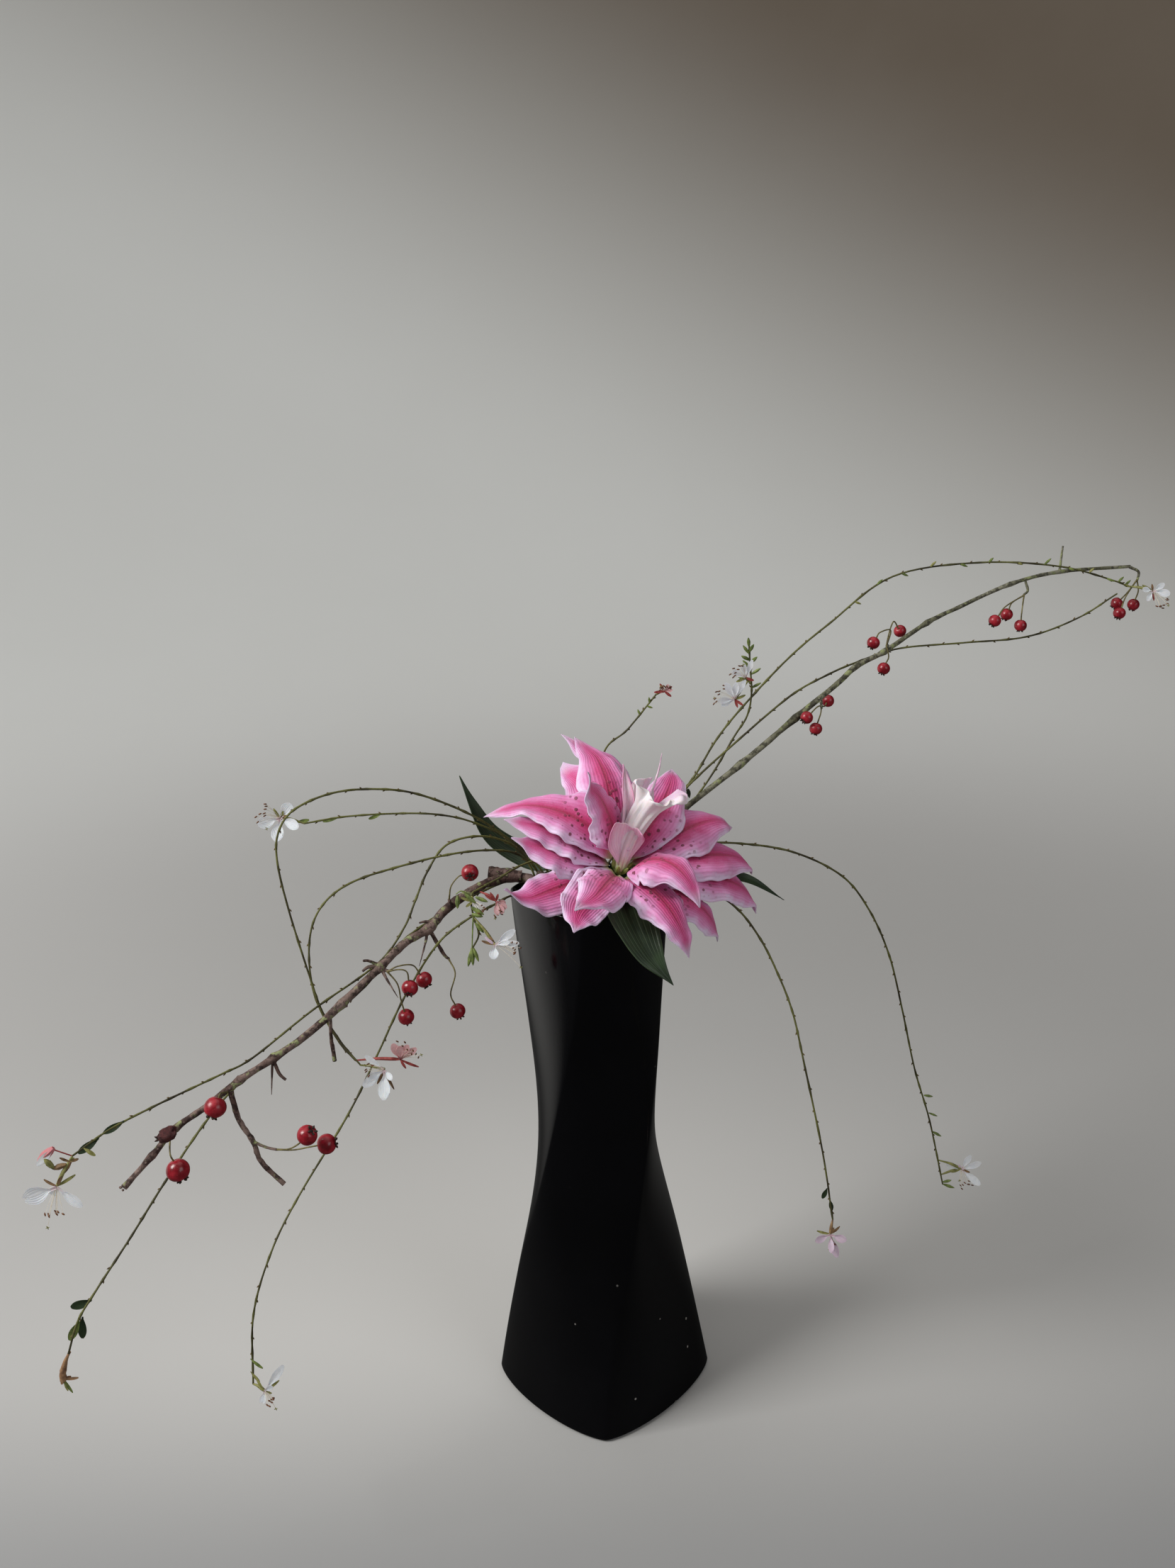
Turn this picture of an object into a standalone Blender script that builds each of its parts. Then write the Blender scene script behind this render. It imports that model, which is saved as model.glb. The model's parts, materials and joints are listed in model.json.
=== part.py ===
# An ikebana arrangement: a twisted square vase with a double lily, two berried
# hawthorn branches and trailing gaura stems. Metres, +Z up. The origin is the
# middle of the vase's foot, on the surface that it stands on.

import math

import bmesh
import bpy
import numpy as np
from mathutils import Vector
from mathutils.bvhtree import BVHTree

REST_GAP = 0.0003  # clearance between pieces that touch
SEAT_DEPTH = 0.6  # how far a slanting tube's end stands off its seat, against its radius

VASE_HEIGHT = 0.400
VASE_HALF_DIAGONALS = (0.0811, 0.0640, 0.0508, 0.0498, 0.0552)  # foot to rim, evenly spaced
VASE_TWIST = math.radians(84.3)
VASE_FIRST_CORNER = math.radians(-0.5)
VASE_SECTION_POWER = 1.383  # 1 is a diamond, 2 is a circle
VASE_WALL = 0.0045
VASE_FLOOR = 0.010
VASE_FOOT_ROUND = 0.0035
VASE_SIDES = 32
VASE_LEVELS = 14

STEM_RADIUS = 0.0009
STEM_TIP_RADIUS = 0.0006
STEM_SIDES = 5
STEM_FOOT_REACH = 0.55  # how far out a stem's foot stands, against its place at the rim
WALL_SLANT = 1.3  # a round stem needs this many radii beside the slanting wall
WALL_CLEARANCE = 0.0007
FOOT_LIFT = 0.2  # the slanting foot of a stem stands this many radii over the floor
STEM_SHARES = (0, 0.2, 0.4, 0.55, 0.7, 0.82, 0.92, 1)  # of the height, for the points inside the vase
LILY_STEM_RADIUS = 0.0035
LILY_STEM_SIDES = 10
LILY_NECK_RADIUS = LILY_STEM_RADIUS * 1.3
LILY_NECK_DEPTH = 0.007
RECEPTACLE_RADIUS = 0.0070
RECEPTACLE_DEPTH = 0.0015

LILY_CENTRE = Vector((0.021, -0.020, 0.420))
LILY_AXIS = Vector((0.30, -0.42, 0.86)).normalized()
LILY_STEM_ROUTE = [
    (0.004, -0.004, VASE_FLOOR + REST_GAP * 2), (0.006, -0.006, 0.20), (0.011, -0.009, 0.33),
    (0.0155, -0.0125, 0.390),
]
TEPAL_START = 0.0075
TEPAL_THICKNESS = 0.0010
TEPAL_LENGTH_STEPS = 8
TEPAL_WIDTH_STEPS = 4
TEPAL_BEND_POWER = 1.25
TEPAL_CLEARANCE = 0.0005
TEPAL_CURVATURE = 0.18  # how far the edges bend back, against half the width
AXIS_REACH = 0.3  # longer than the flower, for the rays along its axis

PEDICEL_RADIUS = 0.0006


def clear_scene():
    for old in list(bpy.data.objects):
        bpy.data.objects.remove(old)


def plain_material(name, colour, roughness):
    material = bpy.data.materials.new(name)
    material.use_nodes = True
    shader = material.node_tree.nodes["Principled BSDF"]
    shader.inputs["Base Color"].default_value = (*colour, 1)
    shader.inputs["Roughness"].default_value = roughness
    shader.inputs["Metallic"].default_value = 0
    return material


def new_object(name, bm, material):
    bmesh.ops.recalc_face_normals(bm, faces=bm.faces)
    mesh = bpy.data.meshes.new(name)
    bm.to_mesh(mesh)
    bm.free()
    mesh.shade_smooth()
    mesh.set_sharp_from_angle(angle=math.radians(40))
    mesh.materials.append(material)
    obj = bpy.data.objects.new(name, mesh)
    bpy.context.scene.collection.objects.link(obj)
    return obj


def join_rings(bm, lower, upper):
    count = len(lower)
    for i in range(count):
        j = (i + 1) % count
        bm.faces.new((lower[i], lower[j], upper[j], upper[i]))


def closed_loft(bm, rings):
    """A closed body through rings of points, with a flat cap at each end."""
    made = [[bm.verts.new(point) for point in ring] for ring in rings]
    for lower, upper in zip(made, made[1:]):
        join_rings(bm, lower, upper)
    bm.faces.new(reversed(made[0]))
    bm.faces.new(made[-1])


def smooth_route(points, steps):
    """Points on a smooth curve through the given ones, with this many steps between each two."""
    route = [Vector(point) for point in points]
    ends = [route[0] * 2 - route[1]] + route + [route[-1] * 2 - route[-2]]
    curve = []
    for before, start, end, after in zip(ends, ends[1:], ends[2:], ends[3:]):
        for step in range(steps):
            t = step / steps
            first = (end - before) * t
            second = (before * 2 - start * 5 + end * 4 - after) * t**2
            third = (start * 3 - before - end * 3 + after) * t**3
            curve.append(start + (first + second + third) * 0.5)
    curve.append(route[-1])
    return curve


def tube_rings(path, radii, sides):
    """Rings square to the path, carried along it without twisting."""
    rings = []
    side = None
    for i, point in enumerate(path):
        along = (path[min(i + 1, len(path) - 1)] - path[max(i - 1, 0)]).normalized()
        if side is None:
            side = along.orthogonal().normalized()
        side = (side - along * side.dot(along)).normalized()
        up = along.cross(side)
        turns = [math.tau * k / sides for k in range(sides)]
        rings.append([point + (side * math.cos(a) + up * math.sin(a)) * radii[i] for a in turns])
    return rings


def tapered(start, end, count):
    return [start + (end - start) * i / (count - 1) for i in range(count)]


def tube(name, path, radii, sides, material):
    bm = bmesh.new()
    closed_loft(bm, tube_rings(path, radii, sides))
    return new_object(name, bm, material)


def surface_of(obj):
    """The object's evaluated surface, for distances and ray casts."""
    bpy.context.view_layer.update()
    return BVHTree.FromObject(obj, bpy.context.evaluated_depsgraph_get())


def seat_on(surface, point, radius):
    """The place nearest the point where a tube of this radius can start, just off the surface."""
    hit, normal, _, _ = surface.find_nearest(point)
    return hit + normal * (REST_GAP + radius * SEAT_DEPTH)


def join_to(base, others):
    """Unites the other objects with the base, and keeps them as hidden guides."""
    for other in others:
        other.hide_render = True
        other.display_type = "WIRE"
        union = base.modifiers.new("join_" + other.name, "BOOLEAN")
        union.operation = "UNION"
        union.solver = "EXACT"
        union.object = other


# The vase


def vase_half_diagonal(height):
    """The section's half diagonal, on a smooth curve through the driving values."""
    knots = VASE_HALF_DIAGONALS
    place = min(max(height / VASE_HEIGHT, 0), 1) * (len(knots) - 1)
    i = min(int(place), len(knots) - 2)
    t = place - i
    before = knots[i - 1] if i else 2 * knots[0] - knots[1]
    after = knots[i + 2] if i + 2 < len(knots) else 2 * knots[-1] - knots[-2]
    start, end = knots[i], knots[i + 1]
    bend = (end - before) * t + (2 * before - 5 * start + 4 * end - after) * t**2
    return start + 0.5 * (bend + (3 * start - before - 3 * end + after) * t**3)


def vase_turn(height):
    t = min(max(height / VASE_HEIGHT, 0), 1)
    return VASE_FIRST_CORNER + VASE_TWIST * t * t * (3 - 2 * t)


def vase_radius(angle, height):
    """The outside's distance from the vase's axis."""
    turned = angle - vase_turn(height)
    power = VASE_SECTION_POWER
    spread = abs(math.cos(turned)) ** power + abs(math.sin(turned)) ** power
    return vase_half_diagonal(height) / spread ** (1 / power)


def foot_inset(height):
    """How far the rounded bottom edge draws the wall in."""
    rise = VASE_FOOT_ROUND - min(height, VASE_FOOT_ROUND)
    return VASE_FOOT_ROUND - math.sqrt(VASE_FOOT_ROUND**2 - rise**2)


def vase_ring(height, inset):
    ring = []
    for i in range(VASE_SIDES):
        angle = vase_turn(height) + math.tau * i / VASE_SIDES
        reach = vase_radius(angle, height) - inset
        ring.append((reach * math.cos(angle), reach * math.sin(angle), height))
    return ring


def make_vase():
    foot = [VASE_FOOT_ROUND * (1 - math.cos(math.radians(a))) for a in (0, 40, 65, 90)]
    wall = tapered(VASE_FOOT_ROUND, VASE_HEIGHT, VASE_LEVELS + 1)[1:]
    outside = [vase_ring(height, foot_inset(height)) for height in foot + wall]
    hollow = tapered(VASE_HEIGHT, VASE_FLOOR, VASE_LEVELS + 1)
    inside = [vase_ring(height, VASE_WALL) for height in hollow]
    bm = bmesh.new()
    closed_loft(bm, outside + inside)
    glaze = plain_material("black_glaze", (0.004, 0.004, 0.005), 0.12)
    return new_object("vase", bm, glaze)


# Stems, which stand on the vase's floor and lean on its rim


def inside_vase(rim_angle, radius, foot_reach=STEM_FOOT_REACH, mouth_reach=1):
    """A stem's points inside the vase, foot first: a straight line, kept off the twisting wall."""
    angle = math.radians(rim_angle)
    out = Vector((math.cos(angle), math.sin(angle), 0))
    foot_height = VASE_FLOOR + REST_GAP + radius * FOOT_LIFT
    rim_reach = vase_radius(angle, VASE_HEIGHT) - VASE_WALL - radius * WALL_SLANT - WALL_CLEARANCE
    points = []
    for share in STEM_SHARES:
        height = foot_height + (VASE_HEIGHT - foot_height) * share
        free = vase_radius(angle, height) - VASE_WALL - radius * WALL_SLANT - WALL_CLEARANCE
        straight = rim_reach * (foot_reach + (mouth_reach - foot_reach) * share)
        points.append(out * min(straight, free) + Vector((0, 0, height)))
    return points


GAURA_STEMS = {
    "gaura_stem_1": (
        133,
        [
            (-0.054, 0.030, 0.426), (-0.081, 0.020, 0.450), (-0.114, 0.004, 0.471), (-0.140, -0.010, 0.480),
            (-0.166, -0.025, 0.483), (-0.188, -0.040, 0.478), (-0.198, -0.050, 0.467),
            (-0.200, -0.056, 0.449), (-0.195, -0.060, 0.416), (-0.184, -0.066, 0.369),
            (-0.178, -0.066, 0.344), (-0.167, -0.070, 0.324), (-0.154, -0.078, 0.311),
        ],
    ),
    "gaura_stem_2": (
        139,
        [
            (-0.057, 0.036, 0.425), (-0.081, 0.030, 0.441), (-0.104, 0.022, 0.450), (-0.130, 0.012, 0.455),
            (-0.164, 0.000, 0.458), (-0.190, -0.012, 0.458),
        ],
    ),
    "gaura_stem_3": (
        151,
        [
            (-0.047, 0.022, 0.417), (-0.065, 0.014, 0.425), (-0.093, 0.004, 0.427), (-0.128, -0.012, 0.425),
            (-0.160, -0.028, 0.420), (-0.179, -0.038, 0.407), (-0.187, -0.046, 0.385),
            (-0.185, -0.055, 0.352), (-0.172, -0.058, 0.320), (-0.160, -0.064, 0.307),
        ],
    ),
    "gaura_stem_4": (
        145,
        [
            (-0.050, 0.026, 0.421), (-0.065, 0.020, 0.432), (-0.083, 0.012, 0.436), (-0.0995, 0.007, 0.431),
            (-0.1115, -0.002, 0.4155), (-0.119, -0.012, 0.400), (-0.127, -0.024, 0.384),
            (-0.144, -0.040, 0.366), (-0.183, -0.074, 0.350), (-0.217, -0.104, 0.333),
            (-0.233, -0.120, 0.331), (-0.262, -0.146, 0.328), (-0.287, -0.168, 0.324),
            (-0.303, -0.190, 0.320),
        ],
    ),
    "gaura_stem_5": (
        157,
        [
            (-0.042, 0.019, 0.403), (-0.062, 0.014, 0.400), (-0.098, -0.006, 0.390),
            (-0.130, -0.032, 0.376), (-0.151, -0.053, 0.356), (-0.180, -0.077, 0.340),
            (-0.220, -0.113, 0.324), (-0.240, -0.136, 0.309), (-0.263, -0.160, 0.281),
            (-0.280, -0.180, 0.258), (-0.295, -0.206, 0.240), (-0.304, -0.216, 0.227),
            (-0.309, -0.224, 0.211),
        ],
    ),
    "gaura_stem_6": (
        200,
        [
            (-0.041, -0.015, 0.403), (-0.053, -0.020, 0.404), (-0.063, -0.026, 0.401),
            (-0.081, -0.030, 0.393), (-0.103, -0.035, 0.377), (-0.127, -0.042, 0.342),
            (-0.145, -0.056, 0.309), (-0.165, -0.078, 0.275), (-0.197, -0.104, 0.231),
            (-0.213, -0.126, 0.205), (-0.225, -0.142, 0.169), (-0.229, -0.148, 0.120),
        ],
    ),
    "gaura_stem_7": (
        205,
        [
            (-0.014, 0.002, 0.412), (-0.024, 0.003, 0.418), (-0.034, -0.003, 0.423),
            (-0.048, -0.010, 0.421),
            (-0.060, -0.016, 0.416), (-0.073, -0.024, 0.412), (-0.079, -0.030, 0.409),
            (-0.078, -0.033, 0.395),
            (-0.075, -0.035, 0.383), (-0.080, -0.037, 0.373),
        ],
    ),
    "gaura_stem_8": (
        14,
        [
            (0.060, 0.017, 0.414), (0.076, 0.022, 0.421), (0.105, 0.026, 0.420), (0.147, 0.034, 0.409),
            (0.184, 0.040, 0.387), (0.206, 0.045, 0.357), (0.223, 0.049, 0.318), (0.235, 0.052, 0.272),
            (0.247, 0.054, 0.220), (0.261, 0.055, 0.173), (0.274, 0.055, 0.115),
        ],
    ),
    "gaura_stem_9": (
        350,
        [
            (0.060, -0.012, 0.411), (0.076, -0.016, 0.406), (0.099, -0.026, 0.393), (0.115, -0.036, 0.373),
            (0.127, -0.046, 0.348), (0.135, -0.054, 0.325), (0.141, -0.062, 0.295), (0.153, -0.074, 0.232),
            (0.160, -0.080, 0.182),
        ],
    ),
    "gaura_stem_10": (
        38,
        [
            (0.0625, 0.048, 0.4265), (0.089, 0.060, 0.4565), (0.1085, 0.066, 0.487), (0.118, 0.067, 0.502),
            (0.121, 0.066, 0.519), (0.120, 0.066, 0.538), (0.119, 0.066, 0.555),
        ],
    ),
    "gaura_stem_11": (
        72,
        [
            (0.046, 0.047, 0.432), (0.074, 0.046, 0.459), (0.094, 0.056, 0.487), (0.114, 0.067, 0.508),
            (0.150, 0.086, 0.539), (0.182, 0.100, 0.561), (0.230, 0.112, 0.592), (0.297, 0.126, 0.598),
            (0.360, 0.133, 0.592), (0.406, 0.144, 0.578), (0.417, 0.148, 0.573),
        ],
    ),
    "gaura_stem_12": (
        65,
        [
            (0.048, 0.041, 0.430), (0.073, 0.038, 0.460), (0.107, 0.049, 0.487), (0.149, 0.069, 0.515),
            (0.177, 0.080, 0.527), (0.202, 0.094, 0.533), (0.235, 0.104, 0.540), (0.285, 0.112, 0.541),
            (0.335, 0.122, 0.542), (0.376, 0.132, 0.553), (0.407, 0.140, 0.569),
        ],
    ),
    "gaura_stem_13": (
        90,
        [(0.004, 0.047, 0.440), (0.014, 0.044, 0.485), (0.031, 0.044, 0.501), (0.052, 0.048, 0.525)],
    ),
}


MOUTH_REACHES = {"gaura_stem_7": 0.35}  # a stem that passes the mouth clear of the rim


def make_gaura_stems():
    olive = plain_material("gaura_stem", (0.10, 0.10, 0.035), 0.6)
    for name, (rim_angle, outside) in GAURA_STEMS.items():
        mouth_reach = MOUTH_REACHES.get(name, 1)
        inside = inside_vase(rim_angle, STEM_RADIUS, mouth_reach=mouth_reach)
        path = smooth_route(inside + outside, 2)
        radii = tapered(STEM_RADIUS, STEM_TIP_RADIUS, len(path))
        tube(name, path, radii, STEM_SIDES, olive)


# Gaura flowers: a thin ovary tube that opens into four petals

# name: (its stem, where it leaves the stem, centre of the flower, petal length)
GAURA_FLOWERS = {
    "gaura_flower_1": ("gaura_stem_1", (-0.154, -0.078, 0.311), (-0.137, -0.084, 0.312), 0.013),
    "gaura_flower_2": ("gaura_stem_2", (-0.190, -0.012, 0.458), (-0.204, -0.018, 0.466), 0.015),
    "gaura_flower_3": ("gaura_stem_4", (-0.303, -0.190, 0.320), (-0.311, -0.198, 0.304), 0.016),
    "gaura_flower_4": ("gaura_stem_3", (-0.160, -0.064, 0.307), (-0.140, -0.062, 0.300), 0.010),
    "gaura_flower_5": ("gaura_stem_6", (-0.229, -0.148, 0.120), (-0.221, -0.152, 0.117), 0.015),
    "gaura_flower_6": ("gaura_stem_7", (-0.078, -0.033, 0.395), (-0.064, -0.041, 0.379), 0.012),
    "gaura_flower_7": ("gaura_stem_8", (0.270, 0.055, 0.137), (0.287, 0.052, 0.131), 0.014),
    "gaura_flower_8": ("gaura_stem_9", (0.160, -0.080, 0.182), (0.158, -0.082, 0.172), 0.012),
    "gaura_flower_9": ("gaura_stem_10", (0.120, 0.065, 0.530), (0.108, 0.058, 0.517), 0.013),
    "gaura_flower_10": ("gaura_stem_11", (0.417, 0.148, 0.573), (0.432, 0.136, 0.571), 0.010),
}
PETALS = 4
OVARY_RADIUS = 0.0008
PETAL_THICKNESS = 0.0008
PETAL_NOTCH = 0.22  # how far out the gaps between the petals stand, against the petals' length
PETAL_LIFT = 0.35  # how far the petals' ends stand over the flower's centre, against their length
OVARY_SHARE = 0.8  # of the way from the stem to the flower's centre
HEART_REACHES = (OVARY_RADIUS * 1.5, OVARY_RADIUS * 1.2)  # the blunt heart on the petals' upper side


def star(middle, side, up, tip_reach, notch_reach):
    ring = []
    for k in range(PETALS * 2):
        angle = math.tau * k / (PETALS * 2)
        reach = notch_reach if k % 2 else tip_reach
        ring.append(middle + (side * math.cos(angle) + up * math.sin(angle)) * reach)
    return ring


def flower_rings(start, centre, petal_length):
    """Rings up the ovary and out over the petals, then back on their upper side."""
    along = (centre - start).normalized()
    side = along.orthogonal().normalized()
    up = along.cross(side)
    tips = centre + along * petal_length * PETAL_LIFT
    notch = petal_length * PETAL_NOTCH
    return [
        star(start, side, up, OVARY_RADIUS, OVARY_RADIUS),
        star(start.lerp(centre, OVARY_SHARE), side, up, OVARY_RADIUS, OVARY_RADIUS),
        star(tips, side, up, petal_length, notch),
        star(tips + along * PETAL_THICKNESS, side, up, petal_length, notch),
        star(centre + along * PETAL_THICKNESS * 2, side, up, *HEART_REACHES),
    ]


def make_gaura_flowers():
    petal = plain_material("gaura_petal", (0.80, 0.82, 0.88), 0.5)
    for name, (stem, leaves_at, centre, petal_length) in GAURA_FLOWERS.items():
        centre = Vector(centre)
        towards = (centre - Vector(leaves_at)).normalized()
        surface = surface_of(bpy.data.objects[stem])
        start = seat_on(surface, Vector(leaves_at) + towards * STEM_TIP_RADIUS, OVARY_RADIUS)
        bm = bmesh.new()
        closed_loft(bm, flower_rings(start, centre, petal_length))
        new_object(name, bm, petal)


# Hawthorn branches

LEFT_BRANCH = [
    (-0.069, 0.001, 0.406), (-0.086, -0.010, 0.401), (-0.099, -0.018, 0.394), (-0.109, -0.030, 0.386),
    (-0.124, -0.040, 0.381), (-0.139, -0.058, 0.372), (-0.162, -0.080, 0.357), (-0.181, -0.098, 0.346),
    (-0.200, -0.116, 0.339), (-0.219, -0.130, 0.332), (-0.237, -0.145, 0.323), (-0.253, -0.157, 0.316),
    (-0.264, -0.172, 0.307), (-0.276, -0.190, 0.298),
]
LEFT_RIM_ANGLE = 166
LEFT_RADIUS = 0.0040
LEFT_TIP_RADIUS = 0.0016
LEFT_SEAT_RISE = 0.0045  # height of the branch's middle over the rim where it lies on it
LEFT_FOOT_REACH = 0.4
LEFT_BEND_DEPTH = 0.020  # how far under the mouth the branch starts to bend
LEFT_BEND_REACHES = (0.55, 0.72, 0.92)  # of the rim: under the mouth, in the mouth, on the rim
# name: (route, radius at the start, radius at the end)
LEFT_TWIGS = {
    "left_cut_stub": ([(-0.047, 0.012, 0.4055), (-0.070, 0.013, 0.409)], 0.0040, 0.0042),
    "left_fork": (
        [
            (-0.224, -0.135, 0.327), (-0.220, -0.139, 0.310), (-0.212, -0.142, 0.296),
            (-0.208, -0.143, 0.282),
            (-0.195, -0.145, 0.267),
        ],
        0.0018,
        0.0015,
    ),
    "left_fork_twig": (
        [(-0.2115, -0.142, 0.2955), (-0.203, -0.146, 0.294), (-0.196, -0.149, 0.294)],
        0.0010,
        0.0008,
    ),
    "left_thorn_upper": ([(-0.109, -0.028, 0.388), (-0.115, -0.046, 0.366)], 0.0012, 0.0003),
    "left_thorn_lower": ([(-0.139, -0.058, 0.372), (-0.127, -0.070, 0.355)], 0.0012, 0.0003),
    "left_spur_upper": (
        [(-0.110, -0.028, 0.387), (-0.100, -0.033, 0.369), (-0.096, -0.034, 0.365)],
        0.0014,
        0.0008,
    ),
    "left_spur_top": (
        [(-0.093, -0.014, 0.396), (-0.094, -0.022, 0.401), (-0.095, -0.022, 0.404)],
        0.0014,
        0.0008,
    ),
    "left_spur_lower": ([(-0.140, -0.058, 0.371), (-0.134, -0.0595, 0.3695)], 0.0014, 0.0009),
    "left_hanging_twig": (
        [(-0.169, -0.086, 0.353), (-0.170, -0.085, 0.335), (-0.169, -0.086, 0.319)],
        0.0012,
        0.0014,
    ),
}
RIGHT_BRANCH = [
    (0.046, 0.036, 0.422), (0.068, 0.043, 0.4395), (0.112, 0.056, 0.469), (0.153, 0.068, 0.499),
    (0.185, 0.079, 0.521), (0.199, 0.084, 0.532), (0.221, 0.092, 0.5405), (0.255, 0.106, 0.558),
    (0.280, 0.115, 0.567), (0.322, 0.128, 0.581), (0.362, 0.140, 0.587), (0.421, 0.155, 0.587),
]
RIGHT_RIM_ANGLE = 53
RIGHT_RADIUS = 0.0032
RIGHT_TIP_RADIUS = 0.0012
RIGHT_TWIGS = {
    "right_spur_up": (
        [(0.362, 0.140, 0.586), (0.363, 0.141, 0.598), (0.364, 0.142, 0.606)],
        0.0010,
        0.0008,
    ),
    "right_tip_hook": (
        [(0.420, 0.155, 0.587), (0.427, 0.153, 0.583), (0.426, 0.151, 0.577)],
        0.0012,
        0.0009,
    ),
    "right_spur_down": (
        [(0.334, 0.131, 0.582), (0.334, 0.125, 0.576), (0.330, 0.121, 0.574)],
        0.0010,
        0.0008,
    ),
}
BRANCH_SIDES = 6


def make_branch(name, path, start_radius, end_radius, twigs, bark):
    radii = tapered(start_radius, end_radius, len(path))
    branch = tube(name, path, radii, BRANCH_SIDES, bark)
    grown = []
    for twig, (route, first, last) in twigs.items():
        points = smooth_route(route, 1)
        grown.append(tube(twig, points, tapered(first, last, len(points)), BRANCH_SIDES - 1, bark))
    join_to(branch, grown)


def make_branches():
    bark = plain_material("purple_bark", (0.09, 0.055, 0.045), 0.8)
    inside = inside_vase(LEFT_RIM_ANGLE, LEFT_RADIUS, LEFT_FOOT_REACH)[:2]
    angle = math.radians(LEFT_RIM_ANGLE)
    rim = Vector((math.cos(angle), math.sin(angle), 0)) * vase_radius(angle, VASE_HEIGHT)
    seat_height = VASE_HEIGHT + LEFT_SEAT_RISE + REST_GAP
    heights = (VASE_HEIGHT - LEFT_BEND_DEPTH, VASE_HEIGHT, seat_height)
    bend = [rim * reach + Vector((0, 0, height)) for reach, height in zip(LEFT_BEND_REACHES, heights)]
    path = smooth_route(inside + bend + LEFT_BRANCH, 2)
    make_branch("left_hawthorn_branch", path, LEFT_RADIUS, LEFT_TIP_RADIUS, LEFT_TWIGS, bark)
    bark = plain_material("grey_bark", (0.14, 0.13, 0.10), 0.8)
    path = smooth_route(inside_vase(RIGHT_RIM_ANGLE, RIGHT_RADIUS) + RIGHT_BRANCH, 2)
    make_branch("right_hawthorn_branch", path, RIGHT_RADIUS, RIGHT_TIP_RADIUS, RIGHT_TWIGS, bark)


# Hawthorn berries, each on its own pedicel. Those from one spur are one cluster

# cluster: (its branch, radius of a berry, routes from the spur to the middle of a berry)
BERRIES = {
    "left_berry_1": (
        "left_hawthorn_branch",
        0.0059,
        [
            [
                (-0.095, -0.022, 0.405), (-0.093, -0.022, 0.413),
                (-0.088, -0.020, 0.419), (-0.080, -0.018, 0.421),
            ],
        ],
    ),
    "left_berries_2": (
        "left_hawthorn_branch",
        0.0055,
        [
            [
                (-0.132, -0.061, 0.369), (-0.127, -0.060, 0.373),
                (-0.118, -0.055, 0.371), (-0.112, -0.050, 0.358),
            ],
            [
                (-0.132, -0.061, 0.369), (-0.126, -0.063, 0.372),
                (-0.121, -0.063, 0.370), (-0.120, -0.062, 0.358),
            ],
            [
                (-0.132, -0.061, 0.369), (-0.128, -0.062, 0.361),
                (-0.127, -0.059, 0.348), (-0.125, -0.056, 0.334),
            ],
        ],
    ),
    "left_berry_3": (
        "left_hawthorn_branch",
        0.0054,
        [
            [
                (-0.095, -0.038, 0.363), (-0.092, -0.040, 0.357),
                (-0.096, -0.040, 0.342), (-0.092, -0.040, 0.329),
            ],
        ],
    ),
    "left_berry_4": (
        "left_hawthorn_branch",
        0.0067,
        [[(-0.224, -0.139, 0.328), (-0.226, -0.149, 0.334), (-0.229, -0.153, 0.327)]],
    ),
    "left_berry_5": (
        "left_hawthorn_branch",
        0.0070,
        [[(-0.254, -0.164, 0.315), (-0.252, -0.175, 0.310), (-0.248, -0.177, 0.300)]],
    ),
    "left_berries_6": (
        "left_hawthorn_branch",
        0.0062,
        [
            [
                (-0.193, -0.150, 0.294), (-0.185, -0.153, 0.296),
                (-0.174, -0.155, 0.299), (-0.164, -0.154, 0.300),
            ],
            [
                (-0.193, -0.150, 0.294), (-0.187, -0.155, 0.298),
                (-0.180, -0.160, 0.304), (-0.173, -0.163, 0.312),
            ],
        ],
    ),
    "right_berries_1": (
        "right_hawthorn_branch",
        0.0046,
        [
            [(0.222, 0.090, 0.545), (0.224, 0.087, 0.557), (0.215, 0.081, 0.557), (0.210, 0.079, 0.550)],
            [(0.222, 0.090, 0.545), (0.224, 0.092, 0.554), (0.229, 0.100, 0.561), (0.236, 0.109, 0.552)],
            [(0.222, 0.090, 0.545), (0.223, 0.086, 0.538), (0.219, 0.083, 0.530)],
        ],
    ),
    "right_berries_2": (
        "right_hawthorn_branch",
        0.0046,
        [
            [(0.172, 0.072, 0.506), (0.168, 0.066, 0.507), (0.160, 0.061, 0.501)],
            [(0.172, 0.072, 0.506), (0.171, 0.066, 0.503), (0.167, 0.063, 0.492)],
            [(0.172, 0.072, 0.506), (0.176, 0.080, 0.504), (0.180, 0.088, 0.506)],
        ],
    ),
    "right_berries_3": (
        "right_hawthorn_branch",
        0.0046,
        [
            [(0.329, 0.120, 0.573), (0.322, 0.122, 0.568), (0.319, 0.124, 0.559)],
            [(0.329, 0.120, 0.573), (0.316, 0.118, 0.566), (0.308, 0.116, 0.556)],
            [(0.329, 0.120, 0.573), (0.328, 0.117, 0.563), (0.327, 0.115, 0.552)],
        ],
    ),
    "right_berries_4": (
        "right_hawthorn_branch",
        0.0046,
        [
            [(0.425, 0.150, 0.575), (0.420, 0.152, 0.568), (0.413, 0.154, 0.559)],
            [(0.425, 0.150, 0.575), (0.416, 0.145, 0.566), (0.410, 0.140, 0.554)],
            [(0.425, 0.150, 0.575), (0.427, 0.150, 0.569), (0.425, 0.152, 0.558)],
        ],
    ),
}
BERRY_SIDES = 7
BERRY_LATITUDES = (25, 55, 90, 125, 158)


def berry_body(name, route, radius, red):
    """A thin pedicel that swells into the berry at its far end."""
    points = [Vector(point) for point in route]
    centre = points[-1]
    along = (centre - points[-2]).normalized()
    path = points[:-1]
    radii = [PEDICEL_RADIUS] * len(path)
    for latitude in BERRY_LATITUDES:
        turn = math.radians(latitude)
        path.append(centre - along * radius * math.cos(turn))
        radii.append(radius * math.sin(turn))
    return tube(name, path, radii, BERRY_SIDES, red)


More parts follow.
